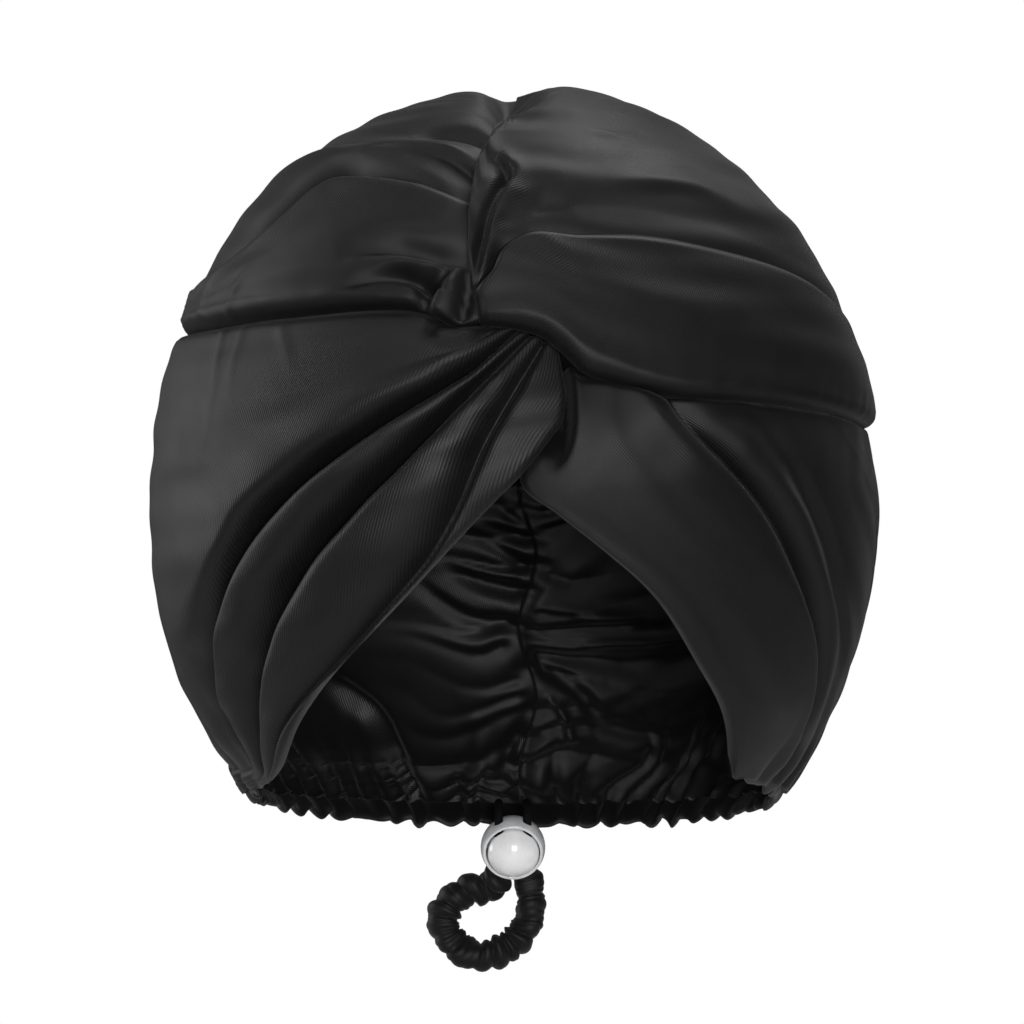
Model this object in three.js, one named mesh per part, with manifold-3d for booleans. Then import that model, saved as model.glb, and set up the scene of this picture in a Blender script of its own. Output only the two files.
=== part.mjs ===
// Silk sleep bonnet: a twist-front turban of four satin panels, gathered at the nape by
// an elastic in a casing, which a ball cord lock holds, with a ruched elastic loop below it.
// Millimetres, +Z up, the face opening towards -Y. The origin is the inside of the crown,
// where the top of the head sits.

import * as THREE from 'three';
import { mergeVertices } from 'three/addons/utils/BufferGeometryUtils.js';
import Module from 'manifold-3d';

// ---------------------------------------------------------------- driving dimensions

// The filled form that the cloth lies on: an ellipsoid, deeper behind than in front.
const HALF_WIDTH = 107.5;
const FRONT_DEPTH = 103;
const BACK_DEPTH = 122;
const MIDDLE_Z = -123;
const TOP_RISE = 124.5;
const BOTTOM_DROP = 131;

// Cloth.
const CLOTH = 1.4;             // thickness of a double satin wall
const STEEPEST = 0.55;         // cosine of the steepest fold flank that keeps full thickness
const SEAM_HALF_GAP = 0.3;     // each panel stops this far from the centre-back seam
const SEAM_FROM_Y = -6;        // in front of this the crowns overlap at the twist
const LEVEL_BELOW = 0.6;       // share of the rise under which cloth is placed at its own height
const RADIAL_ABOVE = 0.9;      // and over which it is placed straight out from the middle

// Gathers: the shirred centre-back seam and the elastic nape.
const SHIRR_DEPTH = 2.2;
const SHIRR_REACH = 34;
const CROWN_SHIRR_DEPTH = 1.32;
const CROWN_SHIRR_Y = [30, 70];    // the crowns' gathers come in between these depths
const GATHER_Y = [-20, 40];        // and the bands' between these
const NAPE_DEPTH = 1.8;
const NAPE_REACH = 17;
const NAPE_HELD = 0.3;         // share of the gathers' depth left at the casing, which holds them
const NAPE_RISE = 8;           // more than this far above it they have their full depth

// Nape casing, from one front corner round the back to the other.
const HEM_CORNER = { left: [-37.5, -207], right: [-50, -206] };   // y and z
const HEM_BACK_Z = -218.6;
const CASING_HEIGHT = 7.4;
const CASING_THICK = 3.6;
const CASING_DROP = 1.3;       // from the hem to the casing's top, a gather's height clear
const CASING_RUFFLES = 30;
const CASING_RUFFLE = 1.1;
const CASING_SWAY = 0.33;      // how far each ruffle moves the casing down and up
const CASING_SIDES = 8;
const CASING_INSET = 1;        // it ends this far inside the front corners
const CASING_LEFT_Y = [-15, 15, 45, 68];          // depths that it passes on the left
const CASING_RIGHT_Y = [68, 45, 15, -15, -35];    // and on the right

// Ball cord lock: a cup with a domed button in it, tilted down to the front.
const LOCK_CENTRE = [0, 64.5, -230.5];
const LOCK_TILT = 25;          // degrees that the button points below level
const BALL_R = 10;
const RIM_Z = 4;               // the rim, forward of the ball's middle along the button's axis
const BORE_R = 8.4;
const BORE_FLOOR_Z = -5.2;
const BUTTON_R = 8;
const BUTTON_BACK_Z = -2.6;
const DOME_RISE = 5;
const BUTTON_TRAVEL = 2.2;
const HOLE_R = 1.75;
const ROUND = 28;              // sides of a turned piece
const CUP_STEPS = 9;
const DOME_STEPS = 6;
const HOLE_STEPS = 8;
const DRILL_LENGTH = 30;

// Elastic.
const STRAND_D = 2.6;
const STRAND_X = 4.4;          // each strand runs this far beside the middle
const LOOP_D = 8;
const LOOP_SIDES = 10;
const LOOP_STEPS = 26;
const STRAND_SIDES = 8;
const STRAND_STEPS = 14;

// ---------------------------------------------------------------- folds
// A row for each fold, edge or hollow of a panel. form says how the cloth passes it: ROUND
// over a crest or through a hollow, SHARP into a crease, EDGE at the panel's border. steps is
// the number of strips of cloth from this row to the next. The row runs through points given
// in the view that shows them, each with its lift off the form:
// front [x, z, lift], then side [y, z, lift], then back [z, lift] on the centre-back seam.

const ROUND_FORM = 0;
const EDGE_FORM = 1.4;
const SHARP_FORM = 2.6;

const CROWN_LEFT = [
  { fold: 'seam', form: EDGE_FORM, steps: 1,
    front: [[-6, -70, -1.5], [-17, -71, 0.5], [-30, -66.5, 0.5], [-66, -68, -0.5], [-88, -70.5, -0.5]],
    side: [[6, -73, -0.5], [75, -84, -0.5]], back: [[-93, -1]] },
  { fold: 'lower roll', form: ROUND_FORM, steps: 1,
    front: [[-7, -68, -1.5], [-24, -64, 3], [-50, -63, 5], [-75, -64, 5], [-93, -68, 3.5]],
    side: [[5, -71, 2.5], [75, -76, 2]], back: [[-85, 0]] },
  { fold: 'second tuck', form: SHARP_FORM, steps: 1,
    front: [[-8, -64, -2], [-21, -61.5, -2.5], [-33, -58.5, -1], [-46, -60.5, 3.5], [-66, -60, 5.5],
      [-90, -66, 4]],
    side: [[4, -69.3, 3], [78, -70, 2.5]], back: [[-78, 0]] },
  { fold: 'between the tucks', form: ROUND_FORM, steps: 1,
    front: [[-9, -58, -1.5], [-23, -57, 1], [-34, -55.5, 2.5], [-46, -57, 4.5], [-64, -56, 5.8],
      [-88, -64, 4.5]],
    side: [[3, -67.6, 3.2], [78, -64, 3]], back: [[-71, 0]] },
  { fold: 'first tuck', form: SHARP_FORM, steps: 1,
    front: [[-9, -53, -2.5], [-22, -53.5, -3], [-34, -51.5, -1.5], [-47, -53, 4], [-63, -51, 6],
      [-86, -62, 4.8]],
    side: [[2, -66, 3.5], [78, -58, 3]], back: [[-64, 0]] },
  { fold: 'front belly', form: ROUND_FORM, steps: 1,
    front: [[-9, -44, -1.5], [-20, -43, 3.5], [-36, -42, 5.5], [-52, -44, 6.5], [-70, -52, 6],
      [-86, -60.5, 4.8]],
    side: [[2, -64.4, 3.6], [78, -51, 3]], back: [[-56, 0]] },
  { fold: 'front pleat crest', form: ROUND_FORM, steps: 1,
    front: [[-8, -37, -1.5], [-20, -33.5, 3.5], [-40, -30, 5], [-54, -32, 6], [-67, -42, 6],
      [-80, -53, 5]],
    side: [[2, -62.6, 3.6], [78, -44, 3]], back: [[-49, 0]] },
  { fold: 'under the front pleat', form: SHARP_FORM, steps: 1,
    front: [[-8, -34.5, -2], [-20, -30.5, 0.5], [-40, -27, 0.8], [-54, -28, -0.6], [-65, -36, -0.8],
      [-76, -46, 0.5], [-88, -56, 1.5]],
    side: [[4, -60.6, 2], [78, -38, 2]], back: [[-43, 0]] },
  { fold: 'side roll', form: ROUND_FORM, steps: 1,
    front: [[-8, -30, -1.5], [-22, -26, 2.6], [-38, -24, 3], [-52, -22, 3.4], [-64, -25, 3.4],
      [-76, -36, 3]],
    side: [[4, -52, 2.5], [76, -32, 2.5]], back: [[-38, 0]] },
  { fold: 'upper pleat crest', form: ROUND_FORM, steps: 1,
    front: [[-6, -25, -1.5], [-19, -21, 3.6], [-40, -18, 3.2], [-51, -17.5, 2.6]],
    side: [[14, -30, 2], [70, -27, 1.5]], back: [[-33, 0]] },
  { fold: 'top tuck', form: SHARP_FORM, steps: 1,
    front: [[-3, -18.5, -2], [-10, -16.5, -2], [-19, -15.5, -0.5], [-34, -14.5, 0.8], [-46, -14.5, 1]],
    side: [[18, -24, 1], [66, -23, 1]], back: [[-28, 0]] },
  { fold: 'between the top tucks', form: ROUND_FORM, steps: 1,
    front: [[-2.5, -15.5, -1.5], [-10, -13.5, 0.8], [-19, -12, 1.2], [-34, -10.5, 1.2], [-43, -11, 1.2]],
    side: [[20, -18, 1], [62, -19, 0.5]], back: [[-24, 0]] },
  { fold: 'upper tuck', form: SHARP_FORM, steps: 1,
    front: [[-2, -13.2, -2], [-10, -9.6, -1.2], [-22, -7.8, -0.2], [-33, -7.4, 0.3]],
    side: [[22, -12, 0.4], [56, -16, 0]], back: [[-20.5, 0]] },
  { fold: 'top crest', form: ROUND_FORM, steps: 1,
    front: [[-1, -11.6, -1.5], [-10, -6.4, 0.8], [-19, -3.6, 1], [-28, -4.6, 0.8]],
    side: [[20, -5.5, 0.4]], back: [[-17, 0]] },
  { fold: 'centre line', form: EDGE_FORM, steps: 1,
    front: [[0.6, -10.4, -1.5]],
    side: [[0, 1.5, 0]], back: [[-13.5, 0]] },
];

const CROWN_RIGHT = [
  { fold: 'lower edge', form: EDGE_FORM, steps: 1,
    front: [[-10, -70.5, 3.6], [2, -74.5, 4.5], [15.5, -82, 4], [23, -86, 2.2], [44, -92, 0.3],
      [73, -94, -0.5], [92, -97, -0.5]],
    side: [[6, -101.5, -0.5], [75, -97, -0.5]], back: [[-93, -1]] },
  { fold: 'lower roll', form: ROUND_FORM, steps: 2,
    front: [[-10, -68.4, 4.5], [2, -71, 7.2], [14, -77, 7.2], [26, -82, 5.4], [46, -88, 4],
      [74, -90, 3.5], [94, -93, 3]],
    side: [[6, -97, 2.5], [75, -90, 2]], back: [[-85, 0]] },
  { fold: 'lobe', form: ROUND_FORM, steps: 2,
    front: [[-10.5, -66.2, 4.5], [8, -64, 7], [31, -70, 6.6], [56, -75, 5.6], [84, -80, 4]],
    side: [[6, -86, 3], [75, -78, 2.5]], back: [[-76, 0]] },
  { fold: 'lobe crest', form: ROUND_FORM, steps: 1,
    front: [[-11, -64.4, 4.5], [-4, -58, 6.8], [3, -51.5, 6.8], [12, -49.5, 6.4], [32, -50.5, 5.2],
      [56, -53, 4.6], [78, -58, 4]],
    side: [[6, -74, 3], [75, -66, 2.5]], back: [[-66, 0]] },
  { fold: 'crease beside the lobe', form: SHARP_FORM, steps: 1,
    front: [[-12, -62, 4], [-6, -56.5, 1.8], [1, -48.5, 1.8], [10, -46, 3], [32, -47, 3.6],
      [56, -49.5, 3.4], [78, -54, 3.2]],
    side: [[6, -70, 2.6], [75, -61, 2]], back: [[-60, 0]] },
  { fold: 'hollow above the lobe', form: ROUND_FORM, steps: 1,
    front: [[-12.5, -58, 4], [-9, -52, 2.4], [-3, -43, 1.8], [8, -39.5, 1.8], [32, -38, 1.8],
      [54, -42, 2], [76, -49, 2]],
    side: [[6, -62, 2], [75, -53, 2]], back: [[-52, 0]] },
  { fold: 'upper crest', form: ROUND_FORM, steps: 1,
    front: [[-13, -52, 4.4], [-10, -44, 3.4], [-5, -36, 3.6], [8, -32, 4], [26, -30, 4.4],
      [53, -31, 4.4], [72, -36, 3.8]],
    side: [[8, -50, 3], [75, -44, 2.5]], back: [[-43, 0]] },
  { fold: 'upper hollow', form: ROUND_FORM, steps: 1,
    front: [[-13, -42, 4.4], [-9, -30, 3.2], [-2, -24, 2.6], [14, -20.5, 2.4], [38, -20.5, 2.4],
      [58, -25, 2.2]],
    side: [[10, -38, 2], [72, -35, 2]], back: [[-35, 0]] },
  { fold: 'top swell', form: ROUND_FORM, steps: 1,
    front: [[-11, -27, 4.4], [-4, -16, 3.4], [14, -9, 3], [36, -9, 2.4]],
    side: [[14, -20, 2], [66, -25, 1]], back: [[-26, 0]] },
  { fold: 'crown peak', form: ROUND_FORM, steps: 1,
    front: [[-5.5, -15, 4], [4, -6.5, 3.8], [17, -1.6, 2.6]],
    side: [[12, -4, 2]], back: [[-18, 0]] },
  { fold: 'centre line', form: EDGE_FORM, steps: 1,
    front: [[-2, -10.5, 4]],
    side: [[0, 1.5, 1.6]], back: [[-13.5, 0]] },
];

// The left band's folds all leave the twist. Those below the first crease meet the hem at the
// front corner and follow it round the nape.
const BAND_LEFT = [
  { fold: 'seam', form: EDGE_FORM, steps: 3,
    front: [[-5, -70.9, -1.5], [-17, -71.9, 0.5], [-30, -67.4, 0.5], [-66, -68.9, -0.5],
      [-88, -71.4, -0.5]],
    side: [[6, -73.9, -0.5], [75, -84.9, -0.5]], back: [[-93.9, -1]] },
  { fold: 'shoulder', form: ROUND_FORM, steps: 5,
    front: [[-3, -71.4, -0.6], [-13, -78, 3], [-45, -88, 3.5], [-81, -104, 3]],
    side: [[4, -118, 2], [75, -118, 1]], back: [[-117.6, 0]] },
  { fold: 'first pleat crest', form: ROUND_FORM, steps: 6,
    front: [[-1, -72, -0.4], [-16, -84, 4], [-51, -102, 4.5], [-82, -126, 4], [-96, -150, 2.5]],
    side: [[0, -165, 1.2], [75, -160, 1]], back: [[-157.6, 0]] },
  { fold: 'first crease', form: SHARP_FORM, steps: 1,
    front: [[1, -72.8, -1], [-13, -86, 0], [-42, -104, -2.5], [-72, -128, -4], [-87, -148, -4.5],
      [-94, -170, -3.5], [-89, -190, -2.5]],
    side: [[-31, -203.5, -1], [30, -199, 0]], back: [[-205.6, 0]] },
  { fold: 'second pleat crest', form: ROUND_FORM, steps: 1,
    front: [[3, -73.6, -0.4], [-21, -95, 4], [-48, -113, 4.5], [-77, -139, 5], [-89, -158, 4.2],
      [-91, -181, 3.6], [-84, -195, 2.6]],
    side: [[-33, -205, 0.5], [30, -202.5, 0]], back: [[-208, 0]] },
  { fold: 'second crease', form: SHARP_FORM, steps: 1,
    front: [[5, -74.4, -1], [-18, -99, -1], [-42, -122, -3], [-63, -143, -3.5], [-82, -170, -2],
      [-80, -193, -0.5]],
    side: [[-35, -205.6, 0], [30, -205, 0]], back: [[-210.4, 0]] },
  { fold: 'third pleat crest', form: ROUND_FORM, steps: 1,
    front: [[7, -75.4, -0.4], [-13, -100, 4], [-33, -122, 4.5], [-59, -150, 4.5], [-74, -179, 4],
      [-76, -195, 2.4]],
    side: [[-36, -206, 0.5], [30, -207.4, 0]], back: [[-212.6, 0]] },
  { fold: 'third crease', form: SHARP_FORM, steps: 1,
    front: [[9, -76.4, -1], [-5, -97, 0], [-18, -123, -1], [-39, -150, 1], [-66, -182, 2]],
    side: [[-36.6, -206.4, 0.3], [30, -209.4, 0]], back: [[-214.6, 0]] },
  { fold: 'edge roll', form: ROUND_FORM, steps: 1,
    front: [[12, -77.6, -0.4], [-1, -101, 4], [-13, -122, 4], [-33, -149, 3.5], [-64, -184, 2.5]],
    side: [[-37, -206.7, 0.3], [30, -211.4, 0]], back: [[-216.6, 0]] },
  { fold: 'free edge', form: EDGE_FORM, steps: 1,
    front: [[16, -80, -1], [14, -94, 2], [8, -113, 2], [-7, -127, 1], [-31, -151, 0.5], [-63, -187, 0]],
    side: [[-37.5, -207, 0], [-10, -209.4, 0], [30, -213.4, 0]], back: [[-218.6, 0]] },
];

// The right band's folds hang from its seam to the hem, from the free edge round to the back.
const BAND_RIGHT = [
  { fold: 'free edge', form: EDGE_FORM, steps: 1,
    front: [[13, -83, -5], [9, -100, -5], [3, -117, -3.5], [9, -124, -1.5], [24, -138, 0],
      [40, -152, 0], [54, -171, 0], [65, -192, 0]],
    side: [[-50, -206, 0]] },
  { fold: 'edge roll', form: ROUND_FORM, steps: 2,
    front: [[20, -87.5, -2], [20, -97, 1.5], [18, -111, 0.5], [25, -125, 1.5], [44, -142, 2.5],
      [59, -165, 2.5], [69, -190, 2]],
    side: [[-46, -206.2, 0]] },
  { fold: 'inner belly', form: ROUND_FORM, steps: 2,
    front: [[29, -89.8, -0.5], [31, -106, 2.5], [43, -121, 3], [58, -142, 3.5], [71, -163, 3.5],
      [77, -184, 3]],
    side: [[-40, -206.8, 0]] },
  { fold: 'first crest', form: ROUND_FORM, steps: 1,
    front: [[37, -92.4, 0], [42, -101, 3.5], [48, -109, 4], [60, -123, 3.8], [75, -142, 3.8],
      [85, -162, 3.4], [87, -184, 2.6]],
    side: [[-34, -207.4, 0]] },
  { fold: 'first trough', form: SHARP_FORM, steps: 1,
    front: [[44, -93.6, -0.6], [50, -103, 0], [59, -114, -1], [69, -125, -1.5], [80, -142, -1.5],
      [88, -162, -1], [91, -180, 0]],
    side: [[-27, -208, 0]] },
  { fold: 'second crest', form: ROUND_FORM, steps: 1,
    front: [[55, -94.6, -0.6], [65, -105, 3], [74, -116, 4], [83, -129, 4], [91, -150, 3.2],
      [94, -172, 2.6]],
    side: [[-19, -208.8, 0]] },
  { fold: 'second trough', form: ROUND_FORM, steps: 1,
    front: [[66, -95.2, -0.8], [78, -108, 1], [87, -124, 0.8], [94, -145, 0.8], [97, -168, 1]],
    side: [[-9, -209.8, 0]] },
  { fold: 'third crest', form: ROUND_FORM, steps: 2,
    front: [[77, -96, -0.8], [85, -111, 2.4], [92, -126, 2.8], [97, -146, 2.6], [99, -165, 2]],
    side: [[2, -210.9, 0]] },
  { fold: 'side hollow', form: ROUND_FORM, steps: 2,
    front: [[92.5, -98.6, -0.8]],
    side: [[-22, -122, 1], [-2, -165, 1], [16, -212.2, 0]] },
  { fold: 'side', form: ROUND_FORM, steps: 2,
    side: [[6, -102.6, -0.8], [12, -130, 1.6], [22, -170, 1.4], [32, -213.8, 0]] },
  { fold: 'behind the ear', form: ROUND_FORM, steps: 2,
    side: [[40, -101, -0.8], [46, -130, 1.4], [48, -170, 1.4], [50, -215.5, 0]] },
  { fold: 'nape side', form: ROUND_FORM, steps: 3,
    side: [[75, -98.4, -0.8], [84, -130, 1], [82, -170, 1], [65, -217, 0]] },
  { fold: 'nape', form: ROUND_FORM, steps: 3,
    side: [[104, -95.8, -0.9], [109, -130, 0.5], [104, -170, 0.5], [74, -218, 0]] },
  { fold: 'back seam', form: EDGE_FORM, steps: 1,
    back: [[-93.9, -1], [-125, 0], [-165, 0], [-218.6, 0]] },
];

// Columns of cloth along the rows: to the side point or front corner, and from it to the back.
const CROWN_COLUMNS = [15, 13];
const BAND_LEFT_COLUMNS = [18, 16];
const BAND_RIGHT_COLUMNS = 17;

// ---------------------------------------------------------------- the form

const SPAN = 24;               // samples of a curve between two of its points

/** A direction on the form from two of its three parts; sign is that of the third. */
function direction(known, missing, sign) {
  const u = new THREE.Vector3(known.x ?? 0, known.y ?? 0, known.z ?? 0);
  u[missing] = sign * Math.sqrt(Math.max(0, 1 - u.lengthSq()));
  return u.normalize();
}

const riseOf = (z) => (z - MIDDLE_Z) / (z > MIDDLE_Z ? TOP_RISE : BOTTOM_DROP);
const depthOf = (y) => y / (y < 0 ? FRONT_DEPTH : BACK_DEPTH);
const fromFront = ([x, z]) => direction({ x: x / HALF_WIDTH, z: riseOf(z) }, 'y', -1);
const fromSide = ([y, z], hand) => direction({ y: depthOf(y), z: riseOf(z) }, 'x', hand);
const fromBack = ([z]) => direction({ x: 0, z: riseOf(z) }, 'y', 1);

/** Where direction u meets the form, and the form's outward normal there. */
function formAt(u) {
  const depth = u.y < 0 ? FRONT_DEPTH : BACK_DEPTH;
  const height = u.z > 0 ? TOP_RISE : BOTTOM_DROP;
  const point = new THREE.Vector3(HALF_WIDTH * u.x, depth * u.y, MIDDLE_Z + height * u.z);
  const normal = new THREE.Vector3(u.x / HALF_WIDTH, u.y / depth, u.z / height).normalize();
  return { point, normal };
}

/** A point of cloth: on the form along u, raised by lift. */
function raised(u, lift) {
  const { point, normal } = formAt(u);
  return point.addScaledVector(normal, lift);
}

/** The direction for a place near the form: at its own height, but from the middle near the top. */
function settled(place) {
  const level = new THREE.Vector2(place.x / HALF_WIDTH, depthOf(place.y));
  const through = new THREE.Vector3(level.x, level.y, riseOf(place.z)).normalize();
  const rise = Math.min(riseOf(place.z), 1);
  level.setLength(Math.sqrt(1 - rise * rise));
  const nearTop = THREE.MathUtils.smoothstep(rise, LEVEL_BELOW, RADIAL_ABOVE);
  return new THREE.Vector3(level.x, level.y, rise).lerp(through, nearTop).normalize();
}

// ---------------------------------------------------------------- rows of cloth

/** The row's points in order, each a direction and a lift, and where its first leg ends. */
function waypoints(row, hand) {
  const front = (row.front ?? []).map((p) => ({ u: fromFront(p), lift: p[2] }));
  const side = (row.side ?? []).map((p) => ({ u: fromSide(p, hand), lift: p[2] }));
  const back = (row.back ?? []).map((p) => ({ u: fromBack(p), lift: p[1] }));
  return { points: [...front, ...side, ...back], turn: front.length };
}

/** A smooth curve through the points, as many samples as asked for, evenly spaced. */
function evenly(points, from, to, count) {
  const onForm = points.map((p) => formAt(p.u).point);
  const curve = new THREE.CatmullRomCurve3(onForm, false, 'centripetal');
  const last = points.length - 1;
  const dense = [];
  for (let k = from * SPAN; k <= to * SPAN; k += 1) {
    const place = curve.getPoint(k / SPAN / last);
    const low = Math.min(Math.floor(k / SPAN), last - 1);
    const part = THREE.MathUtils.smoothstep(k / SPAN - low, 0, 1);
    dense.push({ place, lift: THREE.MathUtils.lerp(points[low].lift, points[low + 1].lift, part) });
  }
  const run = [0];
  for (let k = 1; k < dense.length; k += 1) {
    run.push(run[k - 1] + dense[k].place.distanceTo(dense[k - 1].place));
  }
  const samples = [];
  let d = 0;
  for (let k = 0; k <= count; k += 1) {
    const target = (run[run.length - 1] * k) / count;
    while (d < run.length - 2 && run[d + 1] < target) {
      d += 1;
    }
    const part = (target - run[d]) / (run[d + 1] - run[d]);
    const place = dense[d].place.clone().lerp(dense[d + 1].place, part);
    const lift = THREE.MathUtils.lerp(dense[d].lift, dense[d + 1].lift, part);
    samples.push({ u: settled(place), lift });
  }
  return samples;
}

/** One row, sampled in one leg or in two that meet at its side point or corner. */
function sampled(row, hand, columns) {
  const { points, turn } = waypoints(row, hand);
  if (!Array.isArray(columns)) {
    return evenly(points, 0, points.length - 1, columns);
  }
  const first = evenly(points, 0, turn, columns[0]);
  const second = evenly(points, turn, points.length - 1, columns[1]);
  return [...first, ...second.slice(1)];
}

/** How far the lift has gone from one row to the next, t of the way across. */
function across(t, form, nextForm) {
  const square = t * t;
  const cube = square * t;
  return (cube - 2 * square + t) * form + (3 * square - 2 * cube) + (cube - square) * nextForm;
}

/** The cloth between the rows, as a grid of directions and lifts. */
function woven(rows, hand, columns) {
  const lines = rows.map((row) => sampled(row, hand, columns));
  const grid = [];
  rows.forEach((row, k) => {
    const strips = k < rows.length - 1 ? row.steps : 1;
    for (let step = 0; step < strips; step += 1) {
      const t = step / strips;
      const next = lines[Math.min(k + 1, rows.length - 1)];
      const rise = k < rows.length - 1 ? across(t, row.form, rows[k + 1].form) : 0;
      grid.push(lines[k].map((here, j) => ({
        u: settled(formAt(here.u).point.lerp(formAt(next[j].u).point, t)),
        lift: THREE.MathUtils.lerp(here.lift, next[j].lift, rise),
      })));
    }
  });
  return grid;
}

/** Gathers: neighbouring lines of cloth rise and fall in turn, fading away from the seam. */
const zigzag = (index) => (index % 2 ? -1 : 1);
const fading = (distance, reach) => Math.exp(-((distance / reach) ** 2));

/** Heights of the hem round the nape, from the front corner to the back. */
function hemZ(y, corner) {
  const backY = fromBack([HEM_BACK_Z]).y * BACK_DEPTH;
  return THREE.MathUtils.mapLinear(y, corner[0], backY, corner[1], HEM_BACK_Z);
}

/** Adds the gathers of the shirred back seam and of the elastic nape to a grid. */
function gathered(grid, corner, shirrIndex, napeIndex) {
  grid.forEach((line, i) => line.forEach((cell, j) => {
    const { point } = formAt(cell.u);
    const above = point.z - hemZ(point.y, corner);
    const behind = THREE.MathUtils.smoothstep(point.y, ...GATHER_Y);
    const shirr = fading(point.x, SHIRR_REACH) * behind * Math.min(1, above / NAPE_REACH);
    const nape = fading(above, NAPE_REACH) * behind * Math.min(1, NAPE_HELD + above / NAPE_RISE);
    cell.lift += SHIRR_DEPTH * shirr * zigzag(shirrIndex(i, j));
    cell.lift += NAPE_DEPTH * nape * zigzag(napeIndex(i, j));
  }));
  return grid;
}

// ---------------------------------------------------------------- solids

/** A closed solid from points and triangles, its faces turned outwards. */
function closedSolid(points, triangles) {
  let volume = 0;
  for (const [a, b, c] of triangles) {
    volume += points[a].dot(new THREE.Vector3().crossVectors(points[b], points[c]));
  }
  const index = triangles.flatMap(([a, b, c]) => (volume < 0 ? [a, c, b] : [a, b, c]));
  const geometry = new THREE.BufferGeometry();
  const flat = new Float32Array(points.flatMap((p) => [p.x, p.y, p.z]));
  geometry.setAttribute('position', new THREE.BufferAttribute(flat, 3));
  geometry.setIndex(index);
  geometry.computeVertexNormals();
  return geometry;
}

/** Cosine of the cloth's slope against the form at grid cell i, j. */
function slopeCosine(outer, grid, i, j) {
  const lastI = grid.length - 1;
  const lastJ = grid[0].length - 1;
  const along = outer[i][Math.min(j + 1, lastJ)].clone().sub(outer[i][Math.max(j - 1, 0)]);
  const over = outer[Math.min(i + 1, lastI)][j].clone().sub(outer[Math.max(i - 1, 0)][j]);
  const normal = along.cross(over).normalize();
  return Math.max(STEEPEST, Math.abs(normal.dot(formAt(grid[i][j].u).normal)));
}

/** Keeps a panel on its own side of the centre-back seam. */
function besideSeam(point, hand) {
  if (point.y > SEAM_FROM_Y && point.x * hand < SEAM_HALF_GAP) {
    point.setX(hand * SEAM_HALF_GAP);
  }
  return point;
}

/** A wall of cloth: the grid's outer face, the same face one thickness in, and its rim. */
function clothWall(grid, hand) {
  const rows = grid.length;
  const columns = grid[0].length;
  const outer = grid.map((line) => line.map(({ u, lift }) => raised(u, lift)));
  const inner = grid.map((line, i) => line.map(({ u, lift }, j) => (
    raised(u, lift - CLOTH / slopeCosine(outer, grid, i, j)))));
  const points = [...outer.flat(), ...inner.flat()].map((point) => besideSeam(point, hand));
  const out = (i, j) => i * columns + j;
  const into = (i, j) => rows * columns + i * columns + j;
  const triangles = [];
  const quad = (a, b, c, d) => triangles.push([a, b, c], [a, c, d]);
  for (let i = 0; i < rows - 1; i += 1) {
    for (let j = 0; j < columns - 1; j += 1) {
      quad(out(i, j), out(i, j + 1), out(i + 1, j + 1), out(i + 1, j));
      quad(into(i, j), into(i + 1, j), into(i + 1, j + 1), into(i, j + 1));
    }
  }
  for (let j = 0; j < columns - 1; j += 1) {
    quad(out(0, j), into(0, j), into(0, j + 1), out(0, j + 1));
    quad(out(rows - 1, j), out(rows - 1, j + 1), into(rows - 1, j + 1), into(rows - 1, j));
  }
  for (let i = 0; i < rows - 1; i += 1) {
    quad(out(i, 0), out(i + 1, 0), into(i + 1, 0), into(i, 0));
    quad(out(i, columns - 1), into(i, columns - 1), into(i + 1, columns - 1), out(i + 1, columns - 1));
  }
  return closedSolid(points, triangles);
}

/** A closed tube through rings of points. */
function ringSolid(rings) {
  const sides = rings[0].length;
  const points = rings.flat();
  const triangles = [];
  for (let i = 0; i < rings.length - 1; i += 1) {
    for (let k = 0; k < sides; k += 1) {
      const a = i * sides + k;
      const b = i * sides + ((k + 1) % sides);
      triangles.push([a, b, b + sides], [a, b + sides, a + sides]);
    }
  }
  const last = (rings.length - 1) * sides;
  for (let k = 1; k < sides - 1; k += 1) {
    triangles.push([0, k + 1, k], [last, last + k, last + k + 1]);
  }
  return closedSolid(points, triangles);
}

// ---------------------------------------------------------------- panels

function crownGeometry(rows, hand) {
  const grid = woven(rows, hand, CROWN_COLUMNS);
  grid.forEach((line, i) => line.forEach((cell) => {
    const { point } = formAt(cell.u);
    const behind = THREE.MathUtils.smoothstep(point.y, ...CROWN_SHIRR_Y);
    cell.lift += CROWN_SHIRR_DEPTH * behind * fading(point.x, SHIRR_REACH) * zigzag(i);
  }));
  return clothWall(grid, hand);
}

function bandLeftGeometry() {
  const grid = woven(BAND_LEFT, -1, BAND_LEFT_COLUMNS);
  return clothWall(gathered(grid, HEM_CORNER.left, (i) => i, (i, j) => j), -1);
}

function bandRightGeometry() {
  const grid = woven(BAND_RIGHT, 1, BAND_RIGHT_COLUMNS);
  return clothWall(gathered(grid, HEM_CORNER.right, (i, j) => j, (i) => i), 1);
}

/** The hem, as a curve on the form from the left front corner round the nape to the right one. */
function hemCurve() {
  const onHem = (y, corner, hand) => formAt(fromSide([y, hemZ(y, corner)], hand)).point;
  const { left, right } = HEM_CORNER;
  const backY = fromBack([HEM_BACK_Z]).y * BACK_DEPTH;
  const points = [
    ...[left[0] + CASING_INSET, ...CASING_LEFT_Y].map((y) => onHem(y, left, -1)),
    onHem(backY, left, 1),
    ...[...CASING_RIGHT_Y, right[0] + CASING_INSET].map((y) => onHem(y, right, 1)),
  ];
  return new THREE.CatmullRomCurve3(points, false, 'centripetal');
}

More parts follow.
